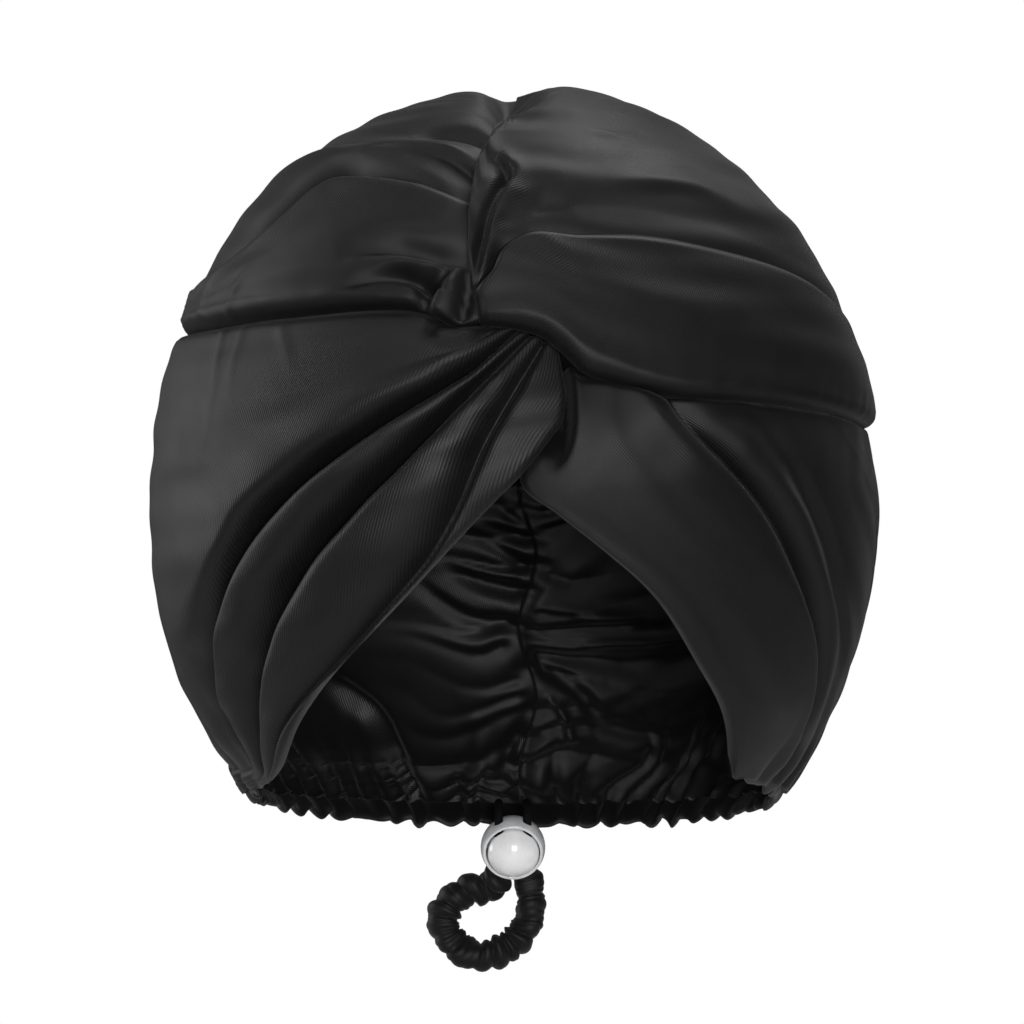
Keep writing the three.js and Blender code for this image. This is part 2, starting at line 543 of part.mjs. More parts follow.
/** The casing that the nape elastic runs in: a ruffled tube along the hem. */
function napeCasingGeometry() {
  const along = hemCurve();
  const stations = 2 * CASING_RUFFLES;
  const rings = along.getSpacedPoints(stations).map((place, k) => {
    const { point, normal } = formAt(settled(place));
    const tangent = along.getTangentAt(k / stations);
    const down = new THREE.Vector3().crossVectors(normal, tangent).normalize();
    if (down.z > 0) {
      down.negate();
    }
    const ruffle = CASING_RUFFLE * zigzag(k);
    const drop = CASING_DROP + CASING_HEIGHT / 2 + CASING_SWAY * zigzag(k);
    const middle = point.addScaledVector(down, drop).addScaledVector(normal, -CLOTH / 2);
    const ring = [];
    for (let side = 0; side < CASING_SIDES; side += 1) {
      const angle = (2 * Math.PI * side) / CASING_SIDES;
      ring.push(middle.clone()
        .addScaledVector(down, -Math.cos(angle) * (CASING_HEIGHT / 2))
        .addScaledVector(normal, Math.sin(angle) * (CASING_THICK + ruffle) / 2));
    }
    return ring;
  });
  return ringSolid(rings);
}

// ---------------------------------------------------------------- cord lock and elastic

const wasm = await Module();
wasm.setup();

/** The geometry as a solid that can be cut and joined. */
function toSolid(geometry) {
  const bare = geometry.clone();
  bare.deleteAttribute('normal');
  bare.deleteAttribute('uv');
  const merged = mergeVertices(bare, 1e-4);
  return new wasm.Manifold(new wasm.Mesh({
    numProp: 3,
    vertProperties: new Float32Array(merged.attributes.position.array),
    triVerts: new Uint32Array(merged.index.array),
  }));
}

function toGeometry(solid) {
  const mesh = solid.getMesh();
  const geometry = new THREE.BufferGeometry();
  geometry.setAttribute('position', new THREE.BufferAttribute(mesh.vertProperties, 3));
  geometry.setIndex(new THREE.BufferAttribute(mesh.triVerts, 1));
  geometry.computeVertexNormals();
  return geometry;
}

/** A turned piece from [radius, height] steps, its axis along +Z. */
function turned(profile) {
  const geometry = new THREE.LatheGeometry(profile.map(([r, z]) => new THREE.Vector2(r, z)), ROUND);
  geometry.rotateX(Math.PI / 2);
  return toSolid(geometry);
}

/** Points of a round profile between two heights, on a ball about the middle. */
function ballArc(radius, middle, fromZ, toZ, steps) {
  const start = Math.acos((fromZ - middle) / radius);
  const end = Math.acos((toZ - middle) / radius);
  const arc = [];
  for (let k = 0; k <= steps; k += 1) {
    const angle = THREE.MathUtils.lerp(start, end, k / steps);
    arc.push([radius * Math.sin(angle), middle + radius * Math.cos(angle)]);
  }
  return arc;
}

/** A rod along Y through the lock, where a strand or its clearance runs. */
function strandHole(x, radius, lowZ, highZ) {
  const outline = new THREE.Shape();
  outline.absarc(0, highZ, radius, 0, Math.PI);
  outline.absarc(0, lowZ, radius, Math.PI, 2 * Math.PI);
  outline.closePath();
  const geometry = new THREE.ExtrudeGeometry(outline, {
    depth: DRILL_LENGTH,
    bevelEnabled: false,
    curveSegments: HOLE_STEPS,
  });
  geometry.rotateX(Math.PI / 2);
  geometry.translate(x, DRILL_LENGTH / 2, 0);
  return toSolid(geometry);
}

/** The cup of the lock, bored from the front, with a hole for each strand. */
function lockBarrelGeometry() {
  const profile = [
    [0, -BALL_R],
    ...ballArc(BALL_R, 0, -BALL_R, RIM_Z, CUP_STEPS).slice(1),
    [BORE_R, RIM_Z],
    [BORE_R, BORE_FLOOR_Z],
    [0, BORE_FLOOR_Z],
  ];
  let solid = turned(profile);
  for (const x of [-STRAND_X, STRAND_X]) {
    solid = solid.subtract(strandHole(x, HOLE_R, 0, 0));
  }
  return toGeometry(solid);
}

/** The button: a domed plunger, slotted so that it can be pressed past the strands. */
function lockButtonGeometry() {
  const domeR = (BUTTON_R ** 2 + DOME_RISE ** 2) / (2 * DOME_RISE);
  const domeMiddle = RIM_Z + DOME_RISE - domeR;
  const profile = [
    [0, BUTTON_BACK_Z],
    [BUTTON_R, BUTTON_BACK_Z],
    ...ballArc(domeR, domeMiddle, RIM_Z, RIM_Z + DOME_RISE, DOME_STEPS).slice(0, -1),
    [0, RIM_Z + DOME_RISE],
  ];
  let solid = turned(profile);
  for (const x of [-STRAND_X, STRAND_X]) {
    solid = solid.subtract(strandHole(x, HOLE_R, 0, BUTTON_TRAVEL));
  }
  return toGeometry(solid);
}

/** A round cord along the route, as an extruded section. */
function cordGeometry(route, diameter, sides, steps) {
  const section = new THREE.Shape();
  for (let k = 0; k < sides; k += 1) {
    const angle = (2 * Math.PI * k) / sides;
    const x = (diameter / 2) * Math.cos(angle);
    const y = (diameter / 2) * Math.sin(angle);
    if (k === 0) {
      section.moveTo(x, y);
    } else {
      section.lineTo(x, y);
    }
  }
  section.closePath();
  const points = route.map((p) => new THREE.Vector3(...p));
  const path = new THREE.CatmullRomCurve3(points, false, 'centripetal');
  return new THREE.ExtrudeGeometry(section, { steps, extrudePath: path, bevelEnabled: false });
}

// Out of the casing, over the lock and straight down through it.
const STRAND_ROUTE = [
  [0, 76.4, -221.3],
  [0, 73.6, -218.6],
  [0, 69.6, -217],
  [0, 65, -217.2],
  [0, 62, -219],
  [0, 60.7, -222.3],
  [0, 64.5, -230.5],
  [0, 68.5, -239.1],
];

// The ruched loop, from the left strand round to the right one.
const LOOP_ROUTE = [
  [-4.7, 69.1, -240.3],
  [-6.9, 70.5, -242.2],
  [-13, 70.7, -243.7],
  [-18.6, 70.7, -247.3],
  [-21.6, 70.8, -252.3],
  [-20.9, 71, -257.8],
  [-16.8, 71.2, -262],
  [-10.8, 71.2, -263.9],
  [-4.3, 71, -262.7],
  [1.3, 70.8, -259.4],
  [4.5, 70.4, -254.6],
  [5.3, 70, -249.4],
  [5.2, 70.2, -244.2],
  [4.6, 68.8, -239.6],
];

/** A strand of the elastic, beside the middle. */
function strandGeometry(x) {
  const route = STRAND_ROUTE.map((p) => [p[0] + x, p[1], p[2]]);
  return cordGeometry(route, STRAND_D, STRAND_SIDES, STRAND_STEPS);
}

// ---------------------------------------------------------------- materials and assembly

const satin = new THREE.MeshStandardMaterial({ color: 0x222225, roughness: 0.45, metalness: 0 });
const pearlGrey = new THREE.MeshStandardMaterial({ color: 0xc9cacc, roughness: 0.2, metalness: 0.1 });
const pearlWhite = new THREE.MeshStandardMaterial({ color: 0xe9e9ea, roughness: 0.15, metalness: 0 });
const elastic = new THREE.MeshStandardMaterial({ color: 0x19191b, roughness: 0.7, metalness: 0 });

function piece(name, geometry, material, parent) {
  const mesh = new THREE.Mesh(geometry, material);
  mesh.name = name;
  parent.add(mesh);
}

const bonnet = new THREE.Group();
piece('crown_left', crownGeometry(CROWN_LEFT, -1), satin, bonnet);
piece('crown_right', crownGeometry(CROWN_RIGHT, 1), satin, bonnet);
piece('band_left', bandLeftGeometry(), satin, bonnet);
piece('band_right', bandRightGeometry(), satin, bonnet);
piece('nape_casing', napeCasingGeometry(), satin, bonnet);

const lock = new THREE.Group();
lock.position.set(...LOCK_CENTRE);
lock.rotation.x = THREE.MathUtils.degToRad(90 + LOCK_TILT);
bonnet.add(lock);
piece('lock_barrel', lockBarrelGeometry(), pearlGrey, lock);
piece('lock_button', lockButtonGeometry(), pearlWhite, lock);

piece('strand_left', strandGeometry(-STRAND_X), elastic, bonnet);
piece('strand_right', strandGeometry(STRAND_X), elastic, bonnet);
piece('elastic_loop', cordGeometry(LOOP_ROUTE, LOOP_D, LOOP_SIDES, LOOP_STEPS), elastic, bonnet);

export default bonnet;
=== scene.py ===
# Silk sleep bonnet, dressed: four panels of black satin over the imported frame, the ruffled nape
# casing, the ball cord lock and its ruched elastic loop, with the studio round them.
import math

import bmesh
import bpy
import numpy as np
from mathutils import Matrix, Vector


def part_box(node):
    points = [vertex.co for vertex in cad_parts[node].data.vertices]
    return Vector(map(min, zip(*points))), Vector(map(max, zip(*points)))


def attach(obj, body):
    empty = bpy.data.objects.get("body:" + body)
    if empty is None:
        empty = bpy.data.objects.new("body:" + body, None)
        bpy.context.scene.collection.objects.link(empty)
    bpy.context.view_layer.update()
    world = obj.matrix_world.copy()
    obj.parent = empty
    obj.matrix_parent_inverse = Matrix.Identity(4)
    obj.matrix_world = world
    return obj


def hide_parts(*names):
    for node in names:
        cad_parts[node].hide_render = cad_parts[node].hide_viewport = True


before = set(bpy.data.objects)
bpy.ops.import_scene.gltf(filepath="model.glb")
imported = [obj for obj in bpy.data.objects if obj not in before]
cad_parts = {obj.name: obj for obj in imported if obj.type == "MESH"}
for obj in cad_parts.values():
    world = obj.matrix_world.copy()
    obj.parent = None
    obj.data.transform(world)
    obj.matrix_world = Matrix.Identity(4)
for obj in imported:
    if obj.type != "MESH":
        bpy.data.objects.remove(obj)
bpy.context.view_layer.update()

MM = 0.001

# ---------------------------------------------------------------- sizes, in millimetres

# The filled form that the cloth lies on: an ellipsoid, deeper behind than in front.
MIDDLE_X = 0.7
HALF_WIDTH = 108.5
FRONT_DEPTH = 103.0
BACK_DEPTH = 122.0
MIDDLE_Z = -123.0
TOP_RISE = 124.5
BOTTOM_DROP = 131.0
NEAR_TOP = (0.6, 0.9)          # between these shares of the rise, a place stops keeping its height

# Cloth.
CLOTH = 1.1                    # a double satin wall
STEEPEST = 0.5                 # cosine of the steepest flank that keeps its full thickness
RIM_RINGS = ((0.18, 0.3), (0.5, 0.42), (0.82, 0.3))    # way through the wall, and bulge in walls
LEAST_STRIPS = 3               # strips of cells between two rows
LIFT_SOFTNESS = 7.0            # how far a change of lift along a fold is spread
VALLEY = 1.6                   # sharp creases lie this much deeper in front than their row says
# The cloth's long waves, drawn out along the folds, and held flat this near to a seam.
DRAPE = dict(lift=0.28, pitch=15.0, drawn_out=5.0, held=6.0)

EDGE_ROLL = {"crown": 2.6, "band": 1.3}
FREE_EDGE = (-2.0, 6.0)        # a band's roll comes up between these distances before its corner
TUCK = dict(drop=4.4, reach=6.0)

# The centre-back seam, which the gathers push from side to side below the top of the opening.
SEAM_X = 4.5
SEAM_WANDER = dict(by=2.8, pitch=45.0, from_z=-118.0, reach=20.0, below=(70.0, 115.0))
SEAM_STARTS = (0.0, 60.0)      # it leaves the middle between these depths
SEAM_FROM_Y = -6.0             # the crowns overlap in front of this

# The dip where the two crowns meet over the twist: its share of the depth at each y.
TOP_DIP = dict(x=-2.0, depth=9.5, left=5.0, right=9.0, over_z=(-60.0, -20.0),
               along=[(-52, 0), (-26, 1), (-3, 1), (12, 0.3), (45, 0)])

# Gathers. Each one's width, depth and reach are random shares, between these, of what is stated.
GATHER_WIDTHS = (0.5, 1.5)
GATHER_DEPTHS = (0.45, 1.25)
GATHER_REACHES = (0.55, 1.5)
GATHER_ROUND = 0.8             # under 1, crests are broad and the valleys between them narrow
GATHER_MEAN = 0.45             # the height that leaves the cloth where it is
GATHER_SWAY = dict(by=0.45, pitch=5.0, starts=1.5)      # in pitches
GATHER_SPAN = 400.0            # the gathers of a seam are laid out this far to each side
RIPPLE_LENGTHS = (0.7, 1.5)    # random shares of a ripple's wavelength
SHIRR = dict(pitch=9.0, reach=24.0, depth=2.6)
SHIRR_STARTS = (20.0, 60.0)    # the back seam is gathered behind these depths
SHIRR_SHARED = (1.0, 7.0)      # away from it, each side's gathers become its own
NAPE = dict(pitch=8.5, reach=17.0, depth=3.4)
NAPE_STARTS = 30.0             # the hem's gathers come up over this length behind a corner
NAPE_ROUND = 75.0              # radius that turns an angle round the nape into a distance
CREASE_ENDS = 5.0              # a crease runs out this far from the centre-back seam
CREASE_FADES = 3               # it is nothing this many widths aside
PUCKER = dict(pitch=9.0, reach=7.0, depth=0.3)
PUCKER_STARTS = 1.5

# Nape casing.
HEM_CORNER = {"left": (-37.5, -207.0), "right": (-50.0, -206.0)}
HEM_BACK_Z = -218.6
CASING_HEIGHT = 10.0
CASING_THICK = 3.0
CASING_DROP = -1.8
CASING_RUFFLE = 2.2
CASING_SCALLOP = 1.3
CASING_STEP = 0.8
CASING_SIDES = 24
CASING_SET_IN = 1.0            # its ends lie this far behind the corners
CASING_Y = {"left": (-15, 15, 45, 68), "right": (68, 45, 15, -15, -35)}    # its line runs through
CASING_TAPER = 60.0
CASING_END = dict(thick=0.5, tall=0.3)      # shares of its size that are left at its ends
CASING_TOP = 0.35              # share of its thickness at its upper edge
CASING_SLIM = {"left": (25.0, 42.0), "right": (-5.0, 38.0)}     # y and reach of its slimmer parts
CASING_SLIM_BY = 0.3
FULLNESS = dict(mean=0.75, by=0.6, pitch=34.0)     # the ruffles are fuller in some places
FRILL = dict(own=0.7, ruffles=0.5, pitch=11.0)     # what the lower edge's waves are made of

# Ball cord lock.
LOCK_TILT = 25.0
BALL_R = 10.0
RIM_Z = 4.0
BORE_R = 8.4
BORE_FLOOR_Z = -5.2
RIM_STARTS = 0.25              # the ball ends this far below its rim
RIM_ROUND = 0.22
BORE_ROUND = 0.2
BUTTON_R = 7.95
BUTTON_ROUND = 0.5
BUTTON_PLAY = (0.12, -0.3)     # the button lies aside and down in its bore by this
BUTTON_BACK_Z = -2.6
DOME_RISE = 5.0
HOLE_R = 1.75
SLOT_TOP = 2.2                 # the button's holes are slots up to here, so that it can press in
TURNED_SIDES = 96
BALL_STEPS = 40
DOME_STEPS = 30
POLE = 0.999                   # an arc stops this near to its pole, where the fan of the cap starts
DOME_POLE = 0.9999
ARC_POINTS = 17
SHARP_ANGLE = math.radians(40)

# Elastic.
STRAND_D = 2.6
STRAND_X = 4.4
STRAND_STEP = 0.25
STRAND_SIDES = 24
PLAITS = dict(count=4, turn=2.6, depth=0.07)
LOOP_D = 8.0
LOOP_STEP = 0.3
LOOP_SIDES = 40
LOOP_NECK = 1.5                # the cover opens to its full width over this length
LOOP_NECK_BY = 0.3             # from this share slimmer
LOOP_FULLNESS = 0.35           # the ruched cover stands out from the tube by this
LOOP_HUG = 1.9                 # its ends reach this far up round the lock
LOOP_GAP = 0.6                 # and stay this far from it
LOOP_LEAN = (1.1, 0.12)        # its frills lean along it by this, and turn by this per millimetre
LOOP_FRILLS = dict(pitch=5.0, height=1.7)
LOOP_FINE = dict(pitch=2.6, height=0.4, lean=0.6)
LOOP_LOBES = dict(pitch=12.0, height=0.5, radius=6.0)
AS_FAR = 1e6                   # a reach without end

# What each piece's irregularities start from.
SEED = {"crown_left": 21, "crown_right": 22, "band_left": 23, "band_right": 24,
        "back seam": 30, "hem": 31, "casing": 11, "loop": 5}

# ---------------------------------------------------------------- folds
# A row for each fold, edge or hollow of a panel: its form across, and the points that it runs
# through in the view that shows them, each with its lift off the form:
# front (x, z, lift), then side (y, z, lift), then back (z, lift) on the centre-back seam.

# A row's form is how steeply the lift leaves it towards the next row.
ROUND = 0.0
EDGE = 1.4
SHARP = 2.6

CROWN_LEFT = [
    dict(fold="seam", form=EDGE,
         front=[(-6, -70, -1.5), (-17, -71, 0.8), (-30, -66.5, 1.4), (-66, -68, 1.4), (-88, -70.5, 1.4)],
         side=[(6, -73, 1.2), (75, -84, 0)], back=[(-93, -1)]),
    dict(fold="lower roll", form=ROUND,
         front=[(-7, -68, -1.5), (-24, -64, 3), (-50, -63, 4.2), (-75, -64.5, 4.4), (-93, -68, 3.6)],
         side=[(5, -70.4, 3), (75, -78, 2)], back=[(-86, 0)]),
    dict(fold="lower belly", form=ROUND,
         front=[(-8.5, -60, -1.5), (-22, -58, 3), (-40, -56, 5), (-62, -57, 5.8), (-88, -64, 4.6)],
         side=[(3, -68, 3.4), (78, -67, 3)], back=[(-75, 0)]),
    dict(fold="front belly", form=ROUND,
         front=[(-9, -47, -1.5), (-20, -46, 3.6), (-36, -44, 5.6), (-54, -46, 6.3), (-74, -55, 5.8),
                (-87, -61.5, 4.8)],
         side=[(2, -65, 3.6), (78, -54, 3)], back=[(-60, 0)]),
    dict(fold="front pleat crest", form=ROUND,
         front=[(-8, -38, -1.5), (-15, -38, 3.8), (-29, -33.4, 4.8), (-43, -31.8, 5.4), (-50, -32.6, 5.8),
                (-56, -36.6, 6), (-65, -44.4, 6), (-76, -52.4, 5.2)],
         side=[(2, -62.6, 3.6), (78, -44, 3)], back=[(-49, 0)]),
    dict(fold="under the front pleat", form=SHARP,
         front=[(-8, -35.2, -2), (-15, -34.8, 2.8), (-29, -30.2, 3), (-43, -28.2, 0.6), (-52, -28.6, -2.6),
                (-59.5, -33.4, -3.4), (-69.5, -41.4, -2.6), (-80, -49.6, 0.4), (-89, -57, 1.5)],
         side=[(4, -60.6, 2), (78, -38, 2)], back=[(-43, 0)]),
    dict(fold="side roll", form=ROUND,
         front=[(-8, -30.5, -1.5), (-22, -27, 3.4), (-38, -24.4, 4), (-54, -21.6, 4.6), (-66, -27, 4.6),
                (-78, -38, 3.6)],
         side=[(4, -52, 2.5), (76, -32, 2.5)], back=[(-38, 0)]),
    dict(fold="upper pleat crest", form=ROUND,
         front=[(-6, -25, -1.5), (-17, -21.6, 4), (-33, -19.8, 3.6), (-48, -18.6, 2.8)],
         side=[(14, -30, 2), (70, -27, 1.5)], back=[(-33, 0)]),
    dict(fold="top hollow", form=ROUND,
         front=[(-4, -18, -2), (-12, -16, 0.4), (-21, -15.6, 1), (-34, -14.6, 1.8), (-46, -14, 1.8)],
         side=[(18, -24, 1), (66, -23, 1)], back=[(-28, 0)]),
    dict(fold="top swell", form=ROUND,
         front=[(-2.5, -13, -2), (-10, -9.5, 1.2), (-22, -8.2, 1.6), (-36, -9, 1.4)],
         side=[(21, -15, 0.8), (60, -18, 0.2)], back=[(-22.5, 0)]),
    dict(fold="top crest", form=ROUND,
         front=[(-1, -11.4, -1.5), (-10, -5.6, 0.4), (-19, -3.4, 0.4), (-28, -4.4, 0.6)],
         side=[(20, -5.5, 0.4)], back=[(-17, 0)]),
    dict(fold="centre line", form=EDGE,
         front=[(0.6, -10.4, -1.5)], side=[(0, 1.5, 0)], back=[(-13.5, 0)]),
]

CROWN_RIGHT = [
    dict(fold="lower edge", form=EDGE,
         front=[(-9.5, -71.5, 3.6), (1.2, -73.2, 4.4), (8, -75.2, 4.4), (14.5, -80, 4), (21, -85.6, 3),
                (28, -87.8, 2.2), (45, -92.2, 1.6), (73, -94, 1.4), (93, -96.4, 1.4)],
         side=[(6, -101.5, 1.2), (75, -97, 0)], back=[(-93, -1)]),
    dict(fold="lower roll", form=ROUND,
         front=[(-10, -68.6, 4.5), (3, -69.6, 7), (12, -73, 7.2), (19, -78.4, 6.6), (29, -83, 5.4),
                (46, -88, 4.4), (74, -90, 4), (94, -92.4, 3.6)],
         side=[(6, -97, 3), (75, -90, 2)], back=[(-85, 0)]),
    dict(fold="lobe", form=ROUND,
         front=[(-10.5, -66.2, 4.5), (8, -63, 7), (31, -69, 6.4), (56, -74, 5.6), (84, -79.5, 4.6)],
         side=[(6, -86, 3.4), (75, -78, 2.5)], back=[(-76, 0)]),
    dict(fold="lobe crest", form=ROUND,
         front=[(-11, -64.4, 4.5), (-4.5, -58.5, 6.8), (-1.5, -52.6, 6.8), (7, -48.4, 6.4),
                (18.5, -49, 5.8), (38, -50, 5.2), (58.5, -53, 4.8), (80, -59, 4.2)],
         side=[(6, -74, 3), (75, -66, 2.5)], back=[(-66, 0)]),
    dict(fold="crease beside the lobe", form=SHARP,
         front=[(-12, -62.6, -0.4), (-7, -57.6, -0.4), (-4, -51.6, 0.4), (5, -45.8, 2), (18, -46.4, 3.8),
                (38, -47.2, 4.2), (58, -50.2, 4), (79, -55.4, 3.6)],
         side=[(6, -70, 2.6), (75, -61, 2)], back=[(-60, 0)]),
    dict(fold="hollow above the lobe", form=ROUND,
         front=[(-12.5, -58, 4), (-9, -52, 2.4), (-4, -44, 1.8), (8, -39.5, 2.4), (32, -39, 3.2),
                (54, -43, 3.2), (76, -50, 2.8)],
         side=[(6, -62, 2.4), (75, -53, 2)], back=[(-52, 0)]),
    dict(fold="upper crest", form=ROUND,
         front=[(-13, -52, 4.4), (-10, -44, 3.4), (-5, -36, 3.6), (8, -32, 4), (30, -31.2, 4.7),
                (53, -32.8, 4.9), (72, -40.5, 4)],
         side=[(8, -51, 3), (75, -44, 2.5)], back=[(-43, 0)]),
    dict(fold="upper hollow", form=ROUND,
         front=[(-13, -42, 4.4), (-9, -30, 3.2), (-2, -24, 3), (14, -20.5, 3.1), (38, -21.5, 3.4),
                (58, -26.5, 3.2)],
         side=[(10, -38, 2.4), (72, -35, 2)], back=[(-35, 0)]),
    dict(fold="top swell", form=ROUND,
         front=[(-11, -27, 4.4), (-4, -16, 3.4), (14, -9, 3.2), (36, -9, 2.8)],
         side=[(14, -20, 2), (66, -25, 1)], back=[(-26, 0)]),
    dict(fold="crown peak", form=ROUND,
         front=[(-5.5, -15, 4), (4, -6.5, 3.4), (17, -1.6, 2.2)],
         side=[(12, -4, 1.8)], back=[(-18, 0)]),
    dict(fold="centre line", form=EDGE,
         front=[(-2, -10.5, 4)], side=[(0, 1.5, 1.4)], back=[(-13.5, 0)]),
]

BAND_LEFT = [
    dict(fold="seam", form=EDGE,
         front=[(-4, -68.4, -1.5), (-17, -69.4, 0), (-30, -64.9, 0), (-66, -66.4, 0), (-88, -68.9, 0)],
         side=[(6, -71.4, 0), (75, -82.4, 0)], back=[(-91.4, -1)]),
    dict(fold="under the seam", form=ROUND,
         front=[(-3, -70, -0.8), (-16.5, -75, 1.6), (-32, -73, 2.6), (-66, -74.8, 2.8), (-90, -78, 3)],
         side=[(6, -80.4, 3), (75, -90, 1)], back=[(-100, 0)]),
    dict(fold="shoulder", form=ROUND,
         front=[(-2, -71, -0.6), (-14, -79, 2.6), (-42, -86, 3.4), (-82, -104, 3)],
         side=[(4, -116, 2), (75, -118, 1)], back=[(-117.6, 0)]),
    dict(fold="first pleat crest", form=ROUND,
         front=[(-0.5, -72, -0.4), (-16, -81, 4), (-48, -98, 5), (-78, -122, 5), (-92, -147, 4)],
         side=[(-2, -168, 3), (75, -160, 1)], back=[(-157.6, 0)]),
    dict(fold="first crease", form=SHARP,
         front=[(1, -72.8, -1.5), (-12, -84.4, -2.4), (-30, -95.4, -4.4), (-57, -113.4, -6.4),
                (-74, -129, -8), (-83, -144, -8.5), (-87, -160, -8.5), (-87, -178, -7), (-82, -193, -4)],
         side=[(-31, -203.5, -1), (30, -199, 0)], back=[(-205.6, 0)]),
    dict(fold="second pleat crest", form=ROUND,
         front=[(3, -73.6, -0.4), (-12, -87.6, 2.5), (-34, -102, 4.5), (-57, -119, 5), (-73, -136.6, 5),
                (-82.5, -153, 4.6), (-86, -168, 4), (-85, -182, 3.4), (-79.5, -195, 2)],
         side=[(-33, -205, 0.5), (30, -202.5, 0)], back=[(-208, 0)]),
    dict(fold="second crease", form=SHARP,
         front=[(5, -74.4, -1.5), (-9.5, -88.2, -3), (-30, -108.6, -5.5), (-48, -126.6, -7.5),
                (-63, -144, -8), (-71, -160, -7.5), (-75, -177, -5.5), (-76, -191, -2.5)],
         side=[(-35, -205.6, 0), (30, -205, 0)], back=[(-210.4, 0)]),
    dict(fold="third pleat crest", form=ROUND,
         front=[(7, -75.4, -0.4), (-7, -91, 3), (-27, -112, 5), (-45, -130.6, 5.5), (-59, -149, 5),
                (-69, -168, 4.5), (-72.5, -184, 3.4), (-74, -195.5, 1.6)],
         side=[(-36, -206, 0.5), (30, -207.4, 0)], back=[(-212.6, 0)]),
    dict(fold="third crease", form=SHARP,
         front=[(9, -76.4, -1.5), (-0.5, -92, -2), (-9.5, -108, -3.6), (-16.5, -125, -4.4),
                (-24.5, -140, -3.6), (-36.5, -155, -1.6), (-50, -170, 0.2), (-68, -190.5, 1)],
         side=[(-36.6, -206.4, 0.3), (30, -209.4, 0)], back=[(-214.6, 0)]),
    dict(fold="edge roll", form=ROUND,
         front=[(11, -77.4, -0.4), (4, -92, 3.6), (-5.5, -108, 4), (-13, -124, 3.6), (-21.5, -139, 3),
                (-34, -153.6, 2.4), (-47.5, -168.6, 1.8), (-66, -189.2, 1.4)],
         side=[(-37, -206.7, 0.3), (30, -211.4, 0)], back=[(-216.6, 0)]),
    dict(fold="free edge", form=EDGE,
         front=[(13.8, -80, -1), (15.2, -92, 2), (14.3, -99.7, 2.4), (10.8, -105, 2.4), (1.5, -116.6, 2),
                (-5.3, -123.4, 1.6), (-31, -151, 1), (-63, -187, 0.6)],
         side=[(-37.5, -207, 0), (-10, -209.4, 0), (30, -213.4, 0)], back=[(-218.6, 0)]),
]

BAND_RIGHT = [
    dict(fold="free edge", form=EDGE,
         front=[(13, -79, -5), (9, -100, -5), (2.6, -118, -3.5), (13.5, -127.4, -1), (27, -138, 0.4),
                (42.5, -152, 0.6), (55.5, -172, 0.6), (64, -188, 0.4)],
         side=[(-50, -206, 0)]),
    dict(fold="edge roll", form=ROUND,
         front=[(20, -83, -3), (20.6, -97, 1.5), (18, -112, 0.5), (22, -122, 1), (31, -132, 2),
                (46, -146, 2.5), (59, -166, 2.5), (68, -187, 2)],
         side=[(-46, -206.2, 0)]),
    dict(fold="inner belly", form=ROUND,
         front=[(29, -84.8, -0.5), (31, -104, 2.8), (43, -121, 3.2), (58, -142, 3.6), (71, -163, 3.5),
                (77, -184, 3)],
         side=[(-40, -206.8, 0)]),
    dict(fold="first crest", form=ROUND,
         front=[(36, -87.4, 0), (42, -99, 3.8), (49, -107.6, 4.4), (61, -122, 4.2), (75, -142, 4),
                (85, -162, 3.4), (87, -184, 2.6)],
         side=[(-34, -207.4, 0)]),
    dict(fold="first trough", form=SHARP,
         front=[(44, -89.4, -0.6), (52, -101, -1), (62, -110.8, -2), (72, -121.4, -2.6),
                (81.5, -136, -2.6), (88, -153, -2), (91, -176, -0.5)],
         side=[(-27, -208, 0)]),
    dict(fold="second crest", form=ROUND,
         front=[(55, -90.4, -0.6), (66, -104, 3), (75, -116, 4.2), (83, -128, 4.2), (90.5, -147, 3.6),
                (94, -170, 2.8)],
         side=[(-19, -208.8, 0)]),
    dict(fold="second trough", form=ROUND,
         front=[(66, -91, -0.8), (78, -107, 1), (87, -124, 0.4), (94, -145, 0.4), (97, -168, 0.8)],
         side=[(-9, -209.8, 0)]),
    dict(fold="third crest", form=ROUND,
         front=[(77, -91.8, -0.8), (85, -110, 2.4), (92, -126, 3), (97, -146, 3), (99, -165, 2.4)],
         side=[(2, -210.9, 0)]),
    dict(fold="side hollow", form=ROUND,
         front=[(92.5, -94.4, -0.8)], side=[(-22, -122, 1.4), (-2, -165, 1.4), (16, -212.2, 0)]),
    dict(fold="side", form=ROUND,
         side=[(6, -98.4, -0.8), (12, -130, 1.8), (22, -170, 1.8), (32, -213.8, 0)]),
    dict(fold="behind the ear", form=ROUND,
         side=[(40, -96.8, -0.8), (46, -130, 1.4), (48, -170, 1.4), (50, -215.5, 0)]),
    dict(fold="nape side", form=ROUND,
         side=[(75, -94.2, -0.8), (84, -130, 1), (82, -170, 1), (65, -217, 0)]),
    dict(fold="nape", form=ROUND,
         side=[(104, -91.6, -0.9), (109, -130, 0.5), (104, -170, 0.5), (74, -218, 0)]),
    dict(fold="back seam", form=EDGE,
         back=[(-91.4, -1), (-125, 0), (-165, 0), (-218.6, 0)]),
]

# Each panel: its rows, its side of the viewer, the legs that its columns are laid out in (one, or
# one in front and one behind), and its cells' length along the folds and width across them.
PANELS = {
    "crown_left": dict(rows=CROWN_LEFT, hand=-1, legs=2, cell=(1.73, 0.86)),
    "crown_right": dict(rows=CROWN_RIGHT, hand=1, legs=2, cell=(1.75, 0.86)),
    "band_left": dict(rows=BAND_LEFT, hand=-1, legs=2, cell=(1.35, 1.34)),
    "band_right": dict(rows=BAND_RIGHT, hand=1, legs=1, cell=(1.2, 1.19)),
}

